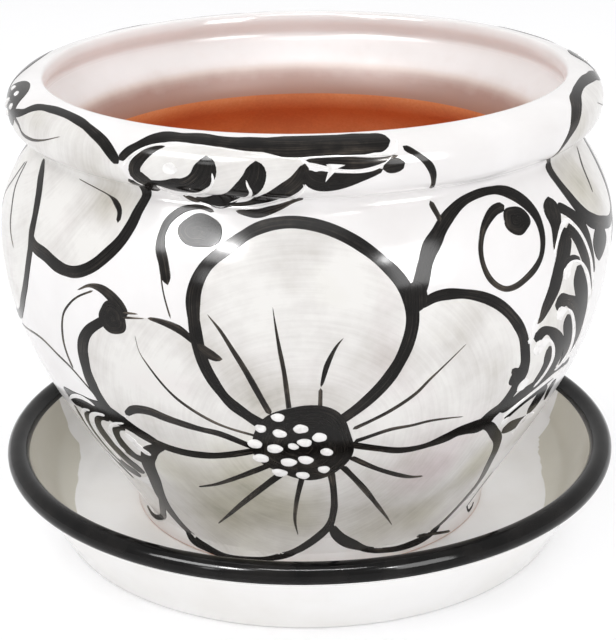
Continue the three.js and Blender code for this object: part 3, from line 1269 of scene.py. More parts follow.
@dataclass
class Pigments:
    """The painter's colours, made once and shared by all motifs."""

    grey: bpy.types.Material
    black: bpy.types.Material
    slip: bpy.types.Material

    @classmethod
    def mixed(cls) -> "Pigments":
        """Makes the three colours."""
        grey = BrushPigment("brushed_grey_wash",
                            ((0.1, "#A9A69E"), (0.3, "#CFCCC8"), (0.45, "#E0DEDC"), (0.58, "#ECEBE9")),
                            hair_width=1.3, hair_length=30.0, hair_share=0.22, cloud_size=24.0, specular=0.2,
                            tints=("#EBE9DB", "#FFFEFD", "#F7EDF0"))
        black = BrushPigment("brushed_black_oxide",
                             ((0.42, "#0E0C0B"), (0.54, "#1B1918"), (0.65, "#37332F"), (0.8, "#665F57")),
                             hair_width=0.55, hair_length=30.0, hair_share=0.55, cloud_size=9.0,
                             specular=0.17, tints=("#FFEEDD", "#FFFAF5", "#FFFFFF"))
        return cls(grey.material(), black.material(), SlipWhite().material())


class Level:
    """How far each layer of paint stands off the coat, in millimetres."""

    WASH = 0.06
    VEIN = 0.13
    BLACK = 0.14
    HEART = 0.21
    SLIP = 0.28


@dataclass
class Motif:
    """A painted motif: washes, black strokes, fine dark lines and white slip, each layer one piece."""

    wall: Wall
    pigments: Pigments
    placement: Placement
    name: str

    # A wash is an outline and a place inside it, a stroke is rows of place and width, a dab is what Paint.dab
    # takes, and a smear is a place, its reach, extra pigment and hue.
    WASHES: ClassVar[Sequence[tuple[Sequence[Place], Place]]] = ()
    BLACK: ClassVar[Sequence[Path]] = ()
    BLACK_DABS: ClassVar[Sequence[tuple[float, ...]]] = ()
    FINE: ClassVar[Sequence[Path]] = ()
    SLIP: ClassVar[Sequence[Path]] = ()
    SLIP_DABS: ClassVar[Sequence[tuple[float, ...]]] = ()
    SMEARS: ClassVar[Sequence[Smear]] = ()
    SWEEP: ClassVar[Place] = (0.0, 90.0)
    MESH_PITCH: ClassVar[float] = 1.6

    def build(self) -> list[bpy.types.Object]:
        """Paints the layers that the motif has, and returns their pieces."""
        pieces = []
        if self.WASHES:
            wash = Paint(self.wall, self.placement, Level.WASH, self.SMEARS)
            for edge, centre in self.WASHES:
                wash.wash(edge, centre, self.SWEEP, self.MESH_PITCH)
            pieces.append(wash.piece(f"{self.name}_wash", self.pigments.grey))
        if self.FINE:
            fine = Paint(self.wall, self.placement, Level.VEIN).strokes_of(self.FINE)
            pieces.append(fine.piece(f"{self.name}_fine_lines", self.pigments.black))
        if self.BLACK or self.BLACK_DABS:
            black = Paint(self.wall, self.placement, Level.BLACK).strokes_of(self.BLACK)
            for dab in self.BLACK_DABS:
                black.dab(*dab)
            pieces.append(black.piece(f"{self.name}_black", self.pigments.black))
        if self.SLIP or self.SLIP_DABS:
            slip = Paint(self.wall, self.placement, Level.SLIP).strokes_of(self.SLIP)
            for dab in self.SLIP_DABS:
                slip.dab(*dab)
            pieces.append(slip.piece(f"{self.name}_slip", self.pigments.slip))
        return pieces


class Flower(Motif):
    """The large open flower: five broad petals, their veins, a black heart and trailed dots."""

    HEART = (-2.5, 79.2, 38.0, 38.0)
    TOP = ((-13, 86, 4.8), (-23.6, 94.2, 4.7), (-29.9, 100.5, 4.3), (-36.8, 113.9, 5), (-39.2, 127, 5.3),
           (-39.5, 140.6, 5.2), (-36.1, 149.2, 4.8), (-29.3, 155.9, 4.7), (-18.8, 163.3, 4.6),
           (-7.6, 165.9, 4.6), (3.8, 164.6, 4.7), (14.7, 160, 4.8), (24.9, 152.1, 4.6),
           (32.7, 142.4, 4.7), (35.6, 131.9, 4.9), (33.8, 120.9, 5), (27.9, 108.9, 5), (19.3, 98.7, 4.9),
           (8, 89, 4.3))
    RIGHT_UPPER = ((37.5, 134.8, 3.5), (45.7, 137.3, 4), (58.6, 135.4, 3.8), (70.4, 129.1, 3.9),
                   (81.4, 116.8, 4.3), (85.9, 106.2, 5), (87.1, 101.5, 6), (86.5, 96.5, 8), (86, 91.6, 6.5),
                   (81.4, 83.5, 6), (77.2, 80.5, 7), (74.1, 76.9, 8), (68, 76.9, 7), (62.2, 76.7, 6),
                   (57.2, 75, 5.5), (46.4, 72.6, 3.4), (36.7, 72.7, 3.4), (26.8, 75.5, 3.4),
                   (14, 79.5, 3.4))
    RIGHT_LOWER = ((72, 77, 4), (79, 74, 4.5), (85.4, 68.1, 4.6), (92.4, 61.2, 4.8), (96.7, 53.9, 4.5),
                   (101.3, 42.6, 4.3), (106.8, 30.2, 4.2), (105.6, 21.3, 4.1), (95.3, 7.9, 3.6),
                   (86, 4.4, 3.2), (66.1, 3, 3), (50, 3.6, 2.4), (35, 6.3, 3.5), (23.1, 12.1, 6),
                   (15.7, 18.4, 5.4), (10.8, 26.8, 3.4))
    LEFT_LOWER = ((-63.8, 70.6, 4), (-73.4, 64.1, 6.2), (-79.9, 55.4, 7), (-83.8, 43.7, 6.8),
                  (-91, 26.9, 6), (-92, 14.4, 5.6), (-85.6, 4.8, 4.6), (-71.5, 2.1, 3.6),
                  (-57.7, 0.9, 2.7), (-42.3, 1.5, 2.4), (-25.4, 3.3, 2.4), (-11.4, 7, 3.7),
                  (-1, 13.9, 4.2), (6.2, 21.1, 4.3), (9.9, 26.9, 3.7), (11.4, 37.3, 2.9),
                  (10.6, 49.9, 2.9), (8.5, 64, 3.2))
    LEFT_MIDDLE_LOW = ((-78, 76.5, 5), (-74.2, 74, 5.2), (-63.8, 70.6, 4.8), (-53, 69.4, 4.3),
                       (-41.3, 70.3, 3.7), (-33.2, 72.2, 3.4), (-20, 76.5, 3.3))
    LEFT_MIDDLE_HIGH = ((-77.3, 83.4, 2.4), (-71.4, 87.6, 4), (-63.9, 88.8, 4.6), (-56.9, 87.2, 4.5),
                        (-43.2, 84.5, 3.2), (-34.8, 83.2, 3.5), (-22, 77.5, 3))
    LEFT_UPPER = ((-76.3, 124.6, 3.5), (-85.5, 117.8, 4.6), (-89.7, 111.4, 5.6), (-91.2, 103.9, 6),
                  (-91.4, 96.5, 6), (-90.2, 89.1, 6), (-86.4, 81.5, 6), (-78, 76, 6))
    DRY_TOP = (((-67.6, 129.1, 1.3), (-61.3, 129.7, 0.5)), ((-67.8, 127.3, 1.3), (-58.7, 128.5, 0.5)),
               ((-57.3, 128.9, 1.1), (-51.5, 128.3, 2.4), (-45.2, 126.4, 3), (-39.5, 122.2, 2.7)))
    THORN = ((-38.6, 122, 2.6), (-36.5, 119.8, 3.8), (-34.2, 118.3, 4.2), (-32, 117.3, 3.2),
             (-30, 117, 1.2))
    JUNCTION = ((37, 143.5, 6.6), (37, 138, 8.2), (37, 132.5, 6))
    VEINS = (
        ((-34.7, 133.2, 0.5), (-30.4, 127.9, 1.5), (-26.4, 121.1, 2.2), (-22, 112.8, 2.6),
         (-14.4, 94.8, 2.8)),
        ((-12.1, 137, 0.3), (-11.2, 130.1, 1.1), (-10.1, 122.2, 1.7), (-8.7, 112.7, 2), (-7.4, 96, 2.4)),
        ((11.6, 125.8, 0.4), (9.1, 122.5, 1.4), (6, 115.6, 2.2), (4.3, 108.5, 1.6), (3.9, 106.9, 0.8)),
        ((3.8, 106.4, 1.9), (3.6, 95, 2)),
        ((-54.7, 47.7, 1.1), (-43.9, 52, 2.1), (-32.9, 58.2, 3), (-16, 68.5, 3.4)),
        ((-54.5, 22, 0.8), (-44.3, 30.8, 1.9), (-29.9, 44.9, 3.1), (-12, 63.3, 3.7)),
        ((-7.6, 20, 0.6), (-8.5, 30, 1.5), (-7.1, 43, 2.1), (-3.6, 61, 2.6)),
        ((47.6, 20.7, 0.6), (33.9, 37.9, 2.2), (23, 53.3, 2.9), (13, 67, 3.2)),
        ((52.8, 53.2, 1.4), (47.6, 54.1, 1.9), (42.7, 55.8, 2.6), (28.7, 63.2, 2.9), (16, 72, 3)),
        ((56.5, 117.6, 0.5), (48.4, 110.5, 1), (43.2, 105.6, 1.5), (38.7, 100.7, 1.8), (29.5, 94.2, 1.9),
         (16, 87, 2)),
        ((73.2, 5.8, 2.1), (87.2, 3.9, 1.6), (105.1, 0.9, 1.2)),
        ((123.5, 29, 0.8), (125, 20, 0.9), (127.5, 12, 1), (129.5, 6.5, 1.2), (130.5, 3.4, 1.5),
         (136, 3, 1.2), (142, 4, 0.8)),
        ((62.9, 76.9, 1.1), (57.8, 75.2, 1.2), (52.3, 74.3, 0.8)),
        ((61.8, 84.5, 0.7), (54.8, 85.6, 1.2), (46.4, 86.2, 1.7), (39.3, 85.5, 1.8), (30.6, 84.9, 2.3),
         (17, 80.5, 2.5)),
        ((-63.1, 121.3, 0.5), (-62.1, 115.3, 0.6), (-59.4, 110.5, 1.2), (-52.8, 101.2, 1.5),
         (-47.7, 96.2, 1.8), (-35.4, 88.5, 1.7), (-20, 83.6, 1.7)),
    )
    WASHES = (
        (((-2.5, 80), (-17.6, 89.5), *places(TOP[2:18]), (9, 90)), (-2, 124)),
        (((8, 80), (18, 97), (27.9, 108.9), (33.8, 120.9), (36, 131.9), (41, 135.5),
          *places(RIGHT_UPPER[2:6]), (85.5, 91.6), (76, 80), (62.2, 76.7), (46.4, 72.6),
          (26.8, 75.5)), (50, 104)),
        (((9.2, 60.6), (14, 79), (36.2, 72.9), (57, 75.5), (76.4, 75.4), *places(RIGHT_LOWER[2:6]),
          (106.3, 30.2), (105, 21.3), (95.3, 8.4), (86, 4.8), (66.1, 3.6), (50, 4.1), (35, 6.8),
          *places(RIGHT_LOWER[13:]), (11.4, 37.3), (10.6, 49.9)), (50, 40)),
        (((-5, 70), (-24.6, 75), *places(LEFT_MIDDLE_LOW[4:1:-1]), *places(LEFT_LOWER[1:5]), (-91.5, 14.4),
          (-85.6, 5.4), (-71.5, 2.6), (-57.7, 1.4), (-42.3, 2), (-25.4, 3.8), *places(LEFT_LOWER[11:17]),
          (9.2, 60.6)), (-38, 38)),
        (((-15, 79), (-24.6, 75), *places(LEFT_MIDDLE_LOW[4:1:-1]), (-76, 75), (-79, 80),
          *places(LEFT_MIDDLE_HIGH[1:6]), (-24.8, 79.5)), (-52, 78)),
        (((-12, 82), (-20, 91), (-29.9, 100.5), (-36.8, 113.9), (-39, 122), (-51.5, 128), (-66, 128.5),
          *places(LEFT_UPPER[:5]), (-87.8, 82.5), (-79, 82), (-71.4, 87.6), (-63.9, 88.8), (-43.2, 84.5),
          (-24.8, 79.5)), (-62, 105)),
    )
    DOTS = ((-11.7, 93.6), (-18.6, 87.9), (-11.5, 85.8), (-3.5, 88.2), (3.5, 83.8), (-21.5, 79.8),
            (-13.9, 77.7), (-6.6, 79.2), (-2.2, 81.2), (6.4, 75.9), (-20, 72), (-8.9, 70.2),
            (-1.9, 71.6), (5.5, 65.8), (-13, 63.8), (-3.3, 62.4))
    SMALL_DOT = (-6.6, 79.2)
    DOT_SIZE = (5.2, 4.2)
    DOT_TILT = -12.0
    SMEARS = ((12, 103, 11, 0.18, 0), (26, 118, 10, 0.12, 0.3), (-18, 102, 13, 0.2, -0.2),
              (-33, 118, 11, 0.08, 0), (-6, 98, 16, 0.08, 0), (-38, 10, 16, -0.12, 0.1),
              (59, 8, 14, -0.1, 0.1), (52, 94, 13, 0.08, 0.2), (55, 128, 12, 0.08, 0),
              (-30, 52, 26, 0.1, -0.7), (-50, 28, 22, 0.13, -0.6), (-5, 35, 16, 0.12, -0.4),
              (-66, 60, 14, 0.08, -0.3), (55, 57, 20, 0.1, 0.9), (34, 22, 20, 0.14, -0.5),
              (88, 50, 13, 0.1, -0.9), (66, 24, 15, 0.08, -0.7), (-70, 84, 10, 0.06, 0.1),
              (-59, 108, 14, -0.07, 0.1), (24, 130, 9, 0.06, 0.2))

    def build(self) -> list[bpy.types.Object]:
        """Paints the flower and returns its pieces."""
        wash = Paint(self.wall, self.placement, Level.WASH, self.SMEARS)
        for edge, centre in self.WASHES:
            wash.wash(edge, centre, self.HEART[:2])
        lines = Paint(self.wall, self.placement, Level.BLACK)
        lines.strokes_of((self.TOP, self.RIGHT_UPPER, self.RIGHT_LOWER, self.LEFT_LOWER, self.LEFT_MIDDLE_LOW,
                          self.LEFT_MIDDLE_HIGH, self.LEFT_UPPER, self.THORN, self.JUNCTION))
        lines.strokes_of(self.DRY_TOP)
        veins = Paint(self.wall, self.placement, Level.VEIN).strokes_of(self.VEINS, swell=0.88)
        heart = Paint(self.wall, self.placement, Level.HEART).dab(*self.HEART, pitch=1.6)
        dots = Paint(self.wall, self.placement, Level.SLIP)
        for u, v in self.DOTS:
            scale = self.dot_scale(u, v)
            width, height = (scale * length for length in self.DOT_SIZE)
            dots.dab(u, v, width, height, dome=0.8, tilt=self.DOT_TILT + 30 * (scale - 1), pitch=0.6)
        return [
            wash.piece(f"{self.name}_petal_washes", self.pigments.grey),
            lines.piece(f"{self.name}_petal_outlines", self.pigments.black),
            veins.piece(f"{self.name}_petal_veins", self.pigments.black),
            heart.piece(f"{self.name}_heart", self.pigments.black),
            dots.piece(f"{self.name}_slip_dots", self.pigments.slip),
        ]

    def dot_scale(self, u: float, v: float) -> float:
        """Gives a size factor near 1 that differs from dot to dot."""
        small = 0.72 if (u, v) == self.SMALL_DOT else 1.0
        return small * (1 + 0.12 * math.sin(7.3 * u + 3.1 * v + self.placement.seed))


class Scrolls(Motif):
    """Tendrils that curl out of the flower, each round a black dot."""

    BLACK = (
        ((37, 138, 6.6), (39.2, 143.1, 5.5), (41.2, 148.5, 5.7), (43.9, 153.4, 5.6), (47.4, 157.2, 5.7),
         (51.2, 161.1, 5), (56, 164.7, 4.5), (62.2, 167.8, 3.8), (69.6, 169.4, 3.4), (76.8, 169.6, 3.5),
         (82.8, 168.5, 4.2), (88, 165.7, 4.9), (92.1, 161.6, 5.1), (94.4, 156.6, 4.4), (94.6, 151.4, 3.3),
         (93.5, 146.6, 2.6), (91.2, 142.2, 2.6), (87.7, 139, 2.8), (83.1, 136.6, 2.7), (77.6, 134.7, 2.5),
         (72.8, 134.7, 2.1), (68.6, 137, 2.1), (65.6, 140.4, 2.3), (63.9, 145, 2.1), (63.9, 149.8, 2.1),
         (65.7, 154.4, 2.2), (68.8, 158.3, 3.1), (74.9, 162.3, 3.7), (80.7, 163.2, 3.4)),
        ((34.8, 197.6, 1.8), (36.4, 196.3, 2.5), (38.6, 194.7, 2.2), (41.3, 192.5, 2.2),
         (43.9, 189.7, 2.7), (45.4, 186.7, 2.5), (46, 183.8, 1.9), (47.1, 178.4, 1.9)),
        ((48.8, 170.1, 1.6), (49.2, 168.2, 2.1), (49.9, 165.9, 2), (50.5, 163.8, 1.9), (50.4, 162.2, 1.9)),
        ((-36, 168.5, 1.2), (-42, 169.8, 1.7), (-48.9, 168.1, 2.7), (-53.5, 163.8, 3.4), (-54.8, 158.7, 3),
         (-54.4, 154.5, 3.6), (-51.9, 148.9, 3.6), (-50.2, 143.8, 3.3), (-49.4, 141.8, 0.5)),
        ((-88.9, 132.9, 0.5), (-82.7, 135.9, 1.5), (-76.9, 135.8, 3.3), (-72.2, 133.7, 4.3),
         (-68.5, 130.6, 4.8), (-66.5, 127.2, 4.1)),
    )
    BLACK_DABS = ((84, 157, 12.5, 10.5, 0.0, -20), (-40.1, 161.4, 15.5, 12.5), (-72.5, 126, 13, 12))
    FINE = (
        ((-53.5, 150.5, 0.5), (-51.3, 140.1, 0.6), (-48.3, 130.2, 0.7)),
        ((-81.1, 134.4, 0.8), (-88.9, 130.4, 0.8), (-93.8, 126.6, 0.9), (-98.7, 120.8, 1.1),
         (-101.7, 110.6, 1.3), (-101.9, 104.9, 1.3), (-100.9, 97.9, 1.3)),
        ((-149.7, 100.2, 0.9), (-121.1, 104.2, 1.2), (-109.6, 100.9, 1.2), (-101.4, 97, 1.2),
         (-91.2, 87.2, 1.2)),
    )


class SideLeaf(Motif):
    """The tall leaf beside the flower: black lobes nested in one another, each edged by white slip."""

    WASHES = (
        (((104, 152), (113, 152), (121, 146), (128, 130), (131, 112), (130, 98), (124, 88), (112, 83),
          (98, 80), (88, 80), (85, 90), (87, 104), (91, 117), (96, 130), (100, 142)), (108, 112)),
        (((88, 77), (98, 80.5), (110, 82), (118, 81), (116, 72), (110, 66), (100, 63), (92, 65), (86, 70)),
         (101, 73)),
    )
    BLACK = (
        ((105.9, 160.9, 5.5), (105.3, 158.2, 8.4), (104.4, 155, 8.6), (103.6, 151.7, 7.1),
         (102.2, 148.7, 4.7), (100.5, 145.8, 2.6), (98.8, 142.6, 0.6)),
        ((108.6, 156.6, 4.3), (113, 153.7, 5.2), (116.7, 150.2, 5.8), (120, 146.2, 6.2),
         (122.7, 141.7, 5.4), (124.7, 136.9, 4.2), (127, 131.6, 3.2), (129.7, 125.3, 1.9)),
        ((110.2, 147.4, 4.3), (107.9, 145.8, 7.9), (106, 142.6, 8.7), (103.8, 139.1, 9),
         (100.8, 135.5, 7.1), (99.5, 132.1, 7.9), (98.1, 128.7, 7.3), (96, 125.5, 6.3), (93.8, 122.3, 5.3),
         (91.8, 118.9, 3), (89.9, 117.1, 1)),
        ((109.4, 148, 4.4), (112.6, 146, 5.6), (115.4, 143, 6.6), (118, 138.6, 7.4), (120.8, 133.6, 6.8),
         (123.8, 127.6, 5.4), (126.4, 122, 3.4), (128.2, 118, 1.8)),
        ((105.4, 136.5, 3), (110.4, 136.4, 2.8), (115.6, 134.3, 2)),
        ((113.2, 132.7, 3.9), (114.6, 129.7, 8.9), (116.7, 125.9, 10.4), (119.5, 121.1, 11.3),
         (122.1, 116.2, 10.9), (123.8, 111.5, 11.2), (124.4, 107.1, 11), (124.3, 102.9, 10.3),
         (124.1, 98.5, 9.4), (122.5, 95.1, 7.7), (120, 92.4, 4.9)),
        ((99.3, 121.9, 5.2), (103.1, 121.9, 7.2), (108.1, 121, 4.4), (113.6, 117.2, 6.5),
         (117.9, 112.3, 5.9), (121.1, 107, 5.7), (122.6, 101.7, 6), (122.4, 96.9, 5.7), (120.8, 92.6, 3.4)),
        ((109, 115.1, 3.4), (110, 112.1, 5.6), (112.8, 107.4, 6.3), (115.6, 102.1, 6.4),
         (117.2, 97.1, 6.2), (117.1, 92.6, 5.2), (115.1, 89.7, 2.2)),
        ((90.9, 109.5, 3.5), (91.3, 111.1, 6), (93.5, 112.4, 5.9), (97.2, 112.3, 3.5), (101.9, 109.4, 4.3),
         (106.3, 104.5, 7.3), (109.1, 99.6, 8.8), (109.7, 94.9, 8.9), (107.7, 91.5, 7.2),
         (104.1, 88.6, 5.2), (100.4, 86.7, 3.3)),
        ((100.4, 104.8, 2.4), (101.5, 101.4, 5.1), (102.8, 97.4, 5.8), (102.2, 94, 5.7), (100.2, 91, 4.6),
         (97.5, 88.2, 2.5)),
        ((80.4, 101.2, 1.8), (83.4, 98.6, 4.7), (86.6, 95.7, 6.3), (88.4, 92.8, 5.4)),
        ((127.1, 88.2, 5.4), (115.7, 89, 4.3), (106.2, 88.8, 4.6), (98.2, 87, 5.6), (91.7, 85, 6.6),
         (86.4, 82.4, 6.3), (82.3, 80.3, 5.3)),
        ((117.4, 85.9, 3.2), (110.2, 85.3, 5.4), (104.6, 83.6, 6.8), (98.5, 81.2, 5.1), (92.5, 78.1, 4.2),
         (87.7, 74.7, 4.1)),
        ((111.6, 83.4, 3.5), (110.8, 80.7, 8), (110, 77, 9), (109.4, 72.5, 8), (108.4, 68.6, 3)),
        ((121.4, 81.9, 3.2), (119.2, 79.3, 6.2), (120, 75.4, 4), (122.2, 71.3, 2.1)),
        ((90.9, 68.6, 6.2), (98.2, 67.1, 7.4), (104.5, 66.7, 6.1), (110.3, 67.6, 3.6)),
    )
    SLIP = (
        ((98.8, 141.5, 0.8), (101.5, 144.9, 1.3), (104.8, 148.1, 1.7), (108.1, 150, 2.5),
         (111.3, 150.5, 2.3), (113.9, 148.5, 1.9), (116.9, 145.2, 1.8), (119.5, 141.5, 1.8),
         (122.3, 136.7, 1.9), (125, 131.5, 2), (127.6, 124.8, 2.4), (130.7, 117.7, 2)),
        ((105.8, 129.6, 3.6), (105.6, 131.5, 5.8), (106.6, 133.5, 4.3), (108.4, 134.9, 2.3),
         (111.7, 135.1, 1.2), (116, 133.3, 1.4), (120, 129.5, 2.2), (123.8, 124.1, 2.7),
         (126.6, 118.3, 3.2), (128.5, 112.4, 3.4), (129.2, 107.1, 3.7), (129.4, 101.9, 3.8),
         (128.1, 97, 3.6), (124.4, 93, 2.8), (118.8, 90.6, 1.8)),
        ((101.6, 115.6, 5.5), (102.9, 116.8, 7.6), (105.8, 117.5, 3.6), (108.6, 117.4, 1.1),
         (112, 114.9, 1.7), (115.2, 110.7, 2.2), (118.4, 105.4, 2.6), (120.7, 99.8, 3), (120.8, 94.9, 3.2),
         (117.5, 91.5, 2.5), (112.5, 89.7, 1.5)),
        ((90.2, 106.2, 3.8), (93.3, 106.3, 6.4), (96.2, 107.4, 4.8), (99.3, 107.7, 1.6),
         (102.2, 105.1, 1.7), (104.7, 101.2, 2.2), (106, 96.7, 2.5), (104.9, 93, 2.4), (102.2, 89.3, 2.2),
         (99.1, 86.7, 1.3)),
        ((88.7, 119.4, 0.5), (87.8, 116.5, 1.1), (87.2, 113.1, 1.3), (86.5, 110.2, 3)),
        ((87.5, 89.1, 2.6), (89, 90.3, 5.1), (91.3, 91.6, 5.2), (93.4, 92.3, 2.2)),
        ((128, 85.5, 4.1), (114.4, 86.4, 2.8), (105.2, 84.8, 2.3), (97.6, 82.6, 2.1), (91.1, 79.4, 1.8),
         (86.2, 76.3, 1.3)),
        ((117.1, 65.5, 2.1), (106.9, 67.6, 3.9), (105.3, 65, 3.3), (104.6, 59.7, 2)),
        ((87.4, 71, 1.6), (89.1, 73.4, 3.8), (90.7, 74.9, 1.6)),
    )
    BLACK_DABS = ((84.8, 96.6, 8.4, 8),)


class LowLeaf(Motif):
    """The leaf low on the left: dark folded bands with white lines between them, and its pale tip."""

    WASHES = (
        (((-118, 77), (-108, 80), (-95, 79), (-80, 75), (-68, 69), (-76, 58), (-84, 47), (-96, 40),
          (-104, 38), (-112, 46), (-118, 62)), (-97, 62)),
        (((-90, 30), (-95, 22), (-103, 13), (-117, 4), (-129, 3), (-128, 14), (-118, 26), (-106, 36)),
         (-108, 19)),
    )
    BLACK = (
        ((-120.5, 79, 7), (-114.2, 81.1, 4.1), (-104.9, 82.9, 2.5), (-98.2, 82.6, 3.7), (-93, 81.7, 7.9),
         (-88.8, 80.6, 9.8), (-84.2, 79.3, 9.4), (-79.6, 77.4, 7.8), (-74.8, 75.2, 6.3),
         (-69.9, 73.1, 5.7), (-65.3, 70.8, 5.1)),
        ((-120.1, 76.2, 5.4), (-110.6, 78.7, 8.3), (-104.4, 78.8, 10.8), (-99.2, 78.1, 9.2),
         (-94.5, 77.3, 6.4), (-90.2, 76.2, 4)),
        ((-119, 73, 1.6), (-121.5, 66, 2.4), (-123, 58, 2.6), (-122, 49, 2.4), (-117, 41, 1.8),
         (-110, 34, 1.2)),
        ((-103.3, 75.5, 0.8), (-110, 71.1, 3.4), (-114.2, 64.1, 6), (-116.1, 56.1, 7.6), (-113.8, 49.4, 8),
         (-108.8, 44.1, 7.5), (-102.1, 42.2, 6.5), (-95.2, 41.8, 4)),
        ((-91.4, 76.3, 2.7), (-97.6, 74.8, 2.8), (-102.5, 70.8, 5.1), (-104.3, 64.7, 7), (-103.3, 59.1, 7),
         (-100.9, 54.1, 7), (-97.2, 49.8, 7), (-92.7, 47.2, 7), (-88.4, 46.3, 3.9)),
        ((-82.2, 74.6, 3), (-87.8, 72.2, 2.5), (-92.3, 67.7, 5.9), (-92.5, 62.5, 7.8), (-89.9, 58.7, 7.4),
         (-86.2, 56.5, 5.8), (-79.8, 56.7, 4.1)),
        ((-89.5, 31, 2), (-93.5, 25.6, 3), (-100.5, 18, 3.6), (-110.5, 9.6, 3.4), (-121, 4.8, 2.6),
         (-131, 3.4, 1.8), (-142, 4.4, 1)),
    )
    SLIP = (
        ((-121, 75.5, 1), (-113.7, 79.8, 1.7), (-105.9, 82.6, 2.4), (-100.2, 82.7, 2.2),
         (-96.3, 81.6, 1.3)),
        ((-103.2, 76.7, 1.2), (-109.7, 74.4, 1.5), (-115.5, 69, 2.2), (-118.8, 62, 3), (-119.6, 55, 3),
         (-117.5, 48.5, 2.6), (-112, 42.5, 1.8)),
        ((-92.1, 78.2, 1.6), (-99.2, 76.3, 1.9), (-105.5, 72, 3), (-110.1, 64.7, 4), (-110.8, 57.5, 4),
         (-109.4, 51.5, 4), (-106.6, 46.9, 3.6)),
        ((-81.1, 77.7, 1.1), (-87.8, 75.2, 1.5), (-93.3, 71, 2.1), (-96.3, 65, 3.7), (-96.3, 59.8, 3.6),
         (-93.1, 57.2, 2.1)),
    )
    SLIP_DABS = ((-82, 69, 6, 4, 0.0, -50), (-79.5, 65, 6, 4.2, 0.0, -40), (-76.5, 63, 4.5, 3.2, 0.0, -15))


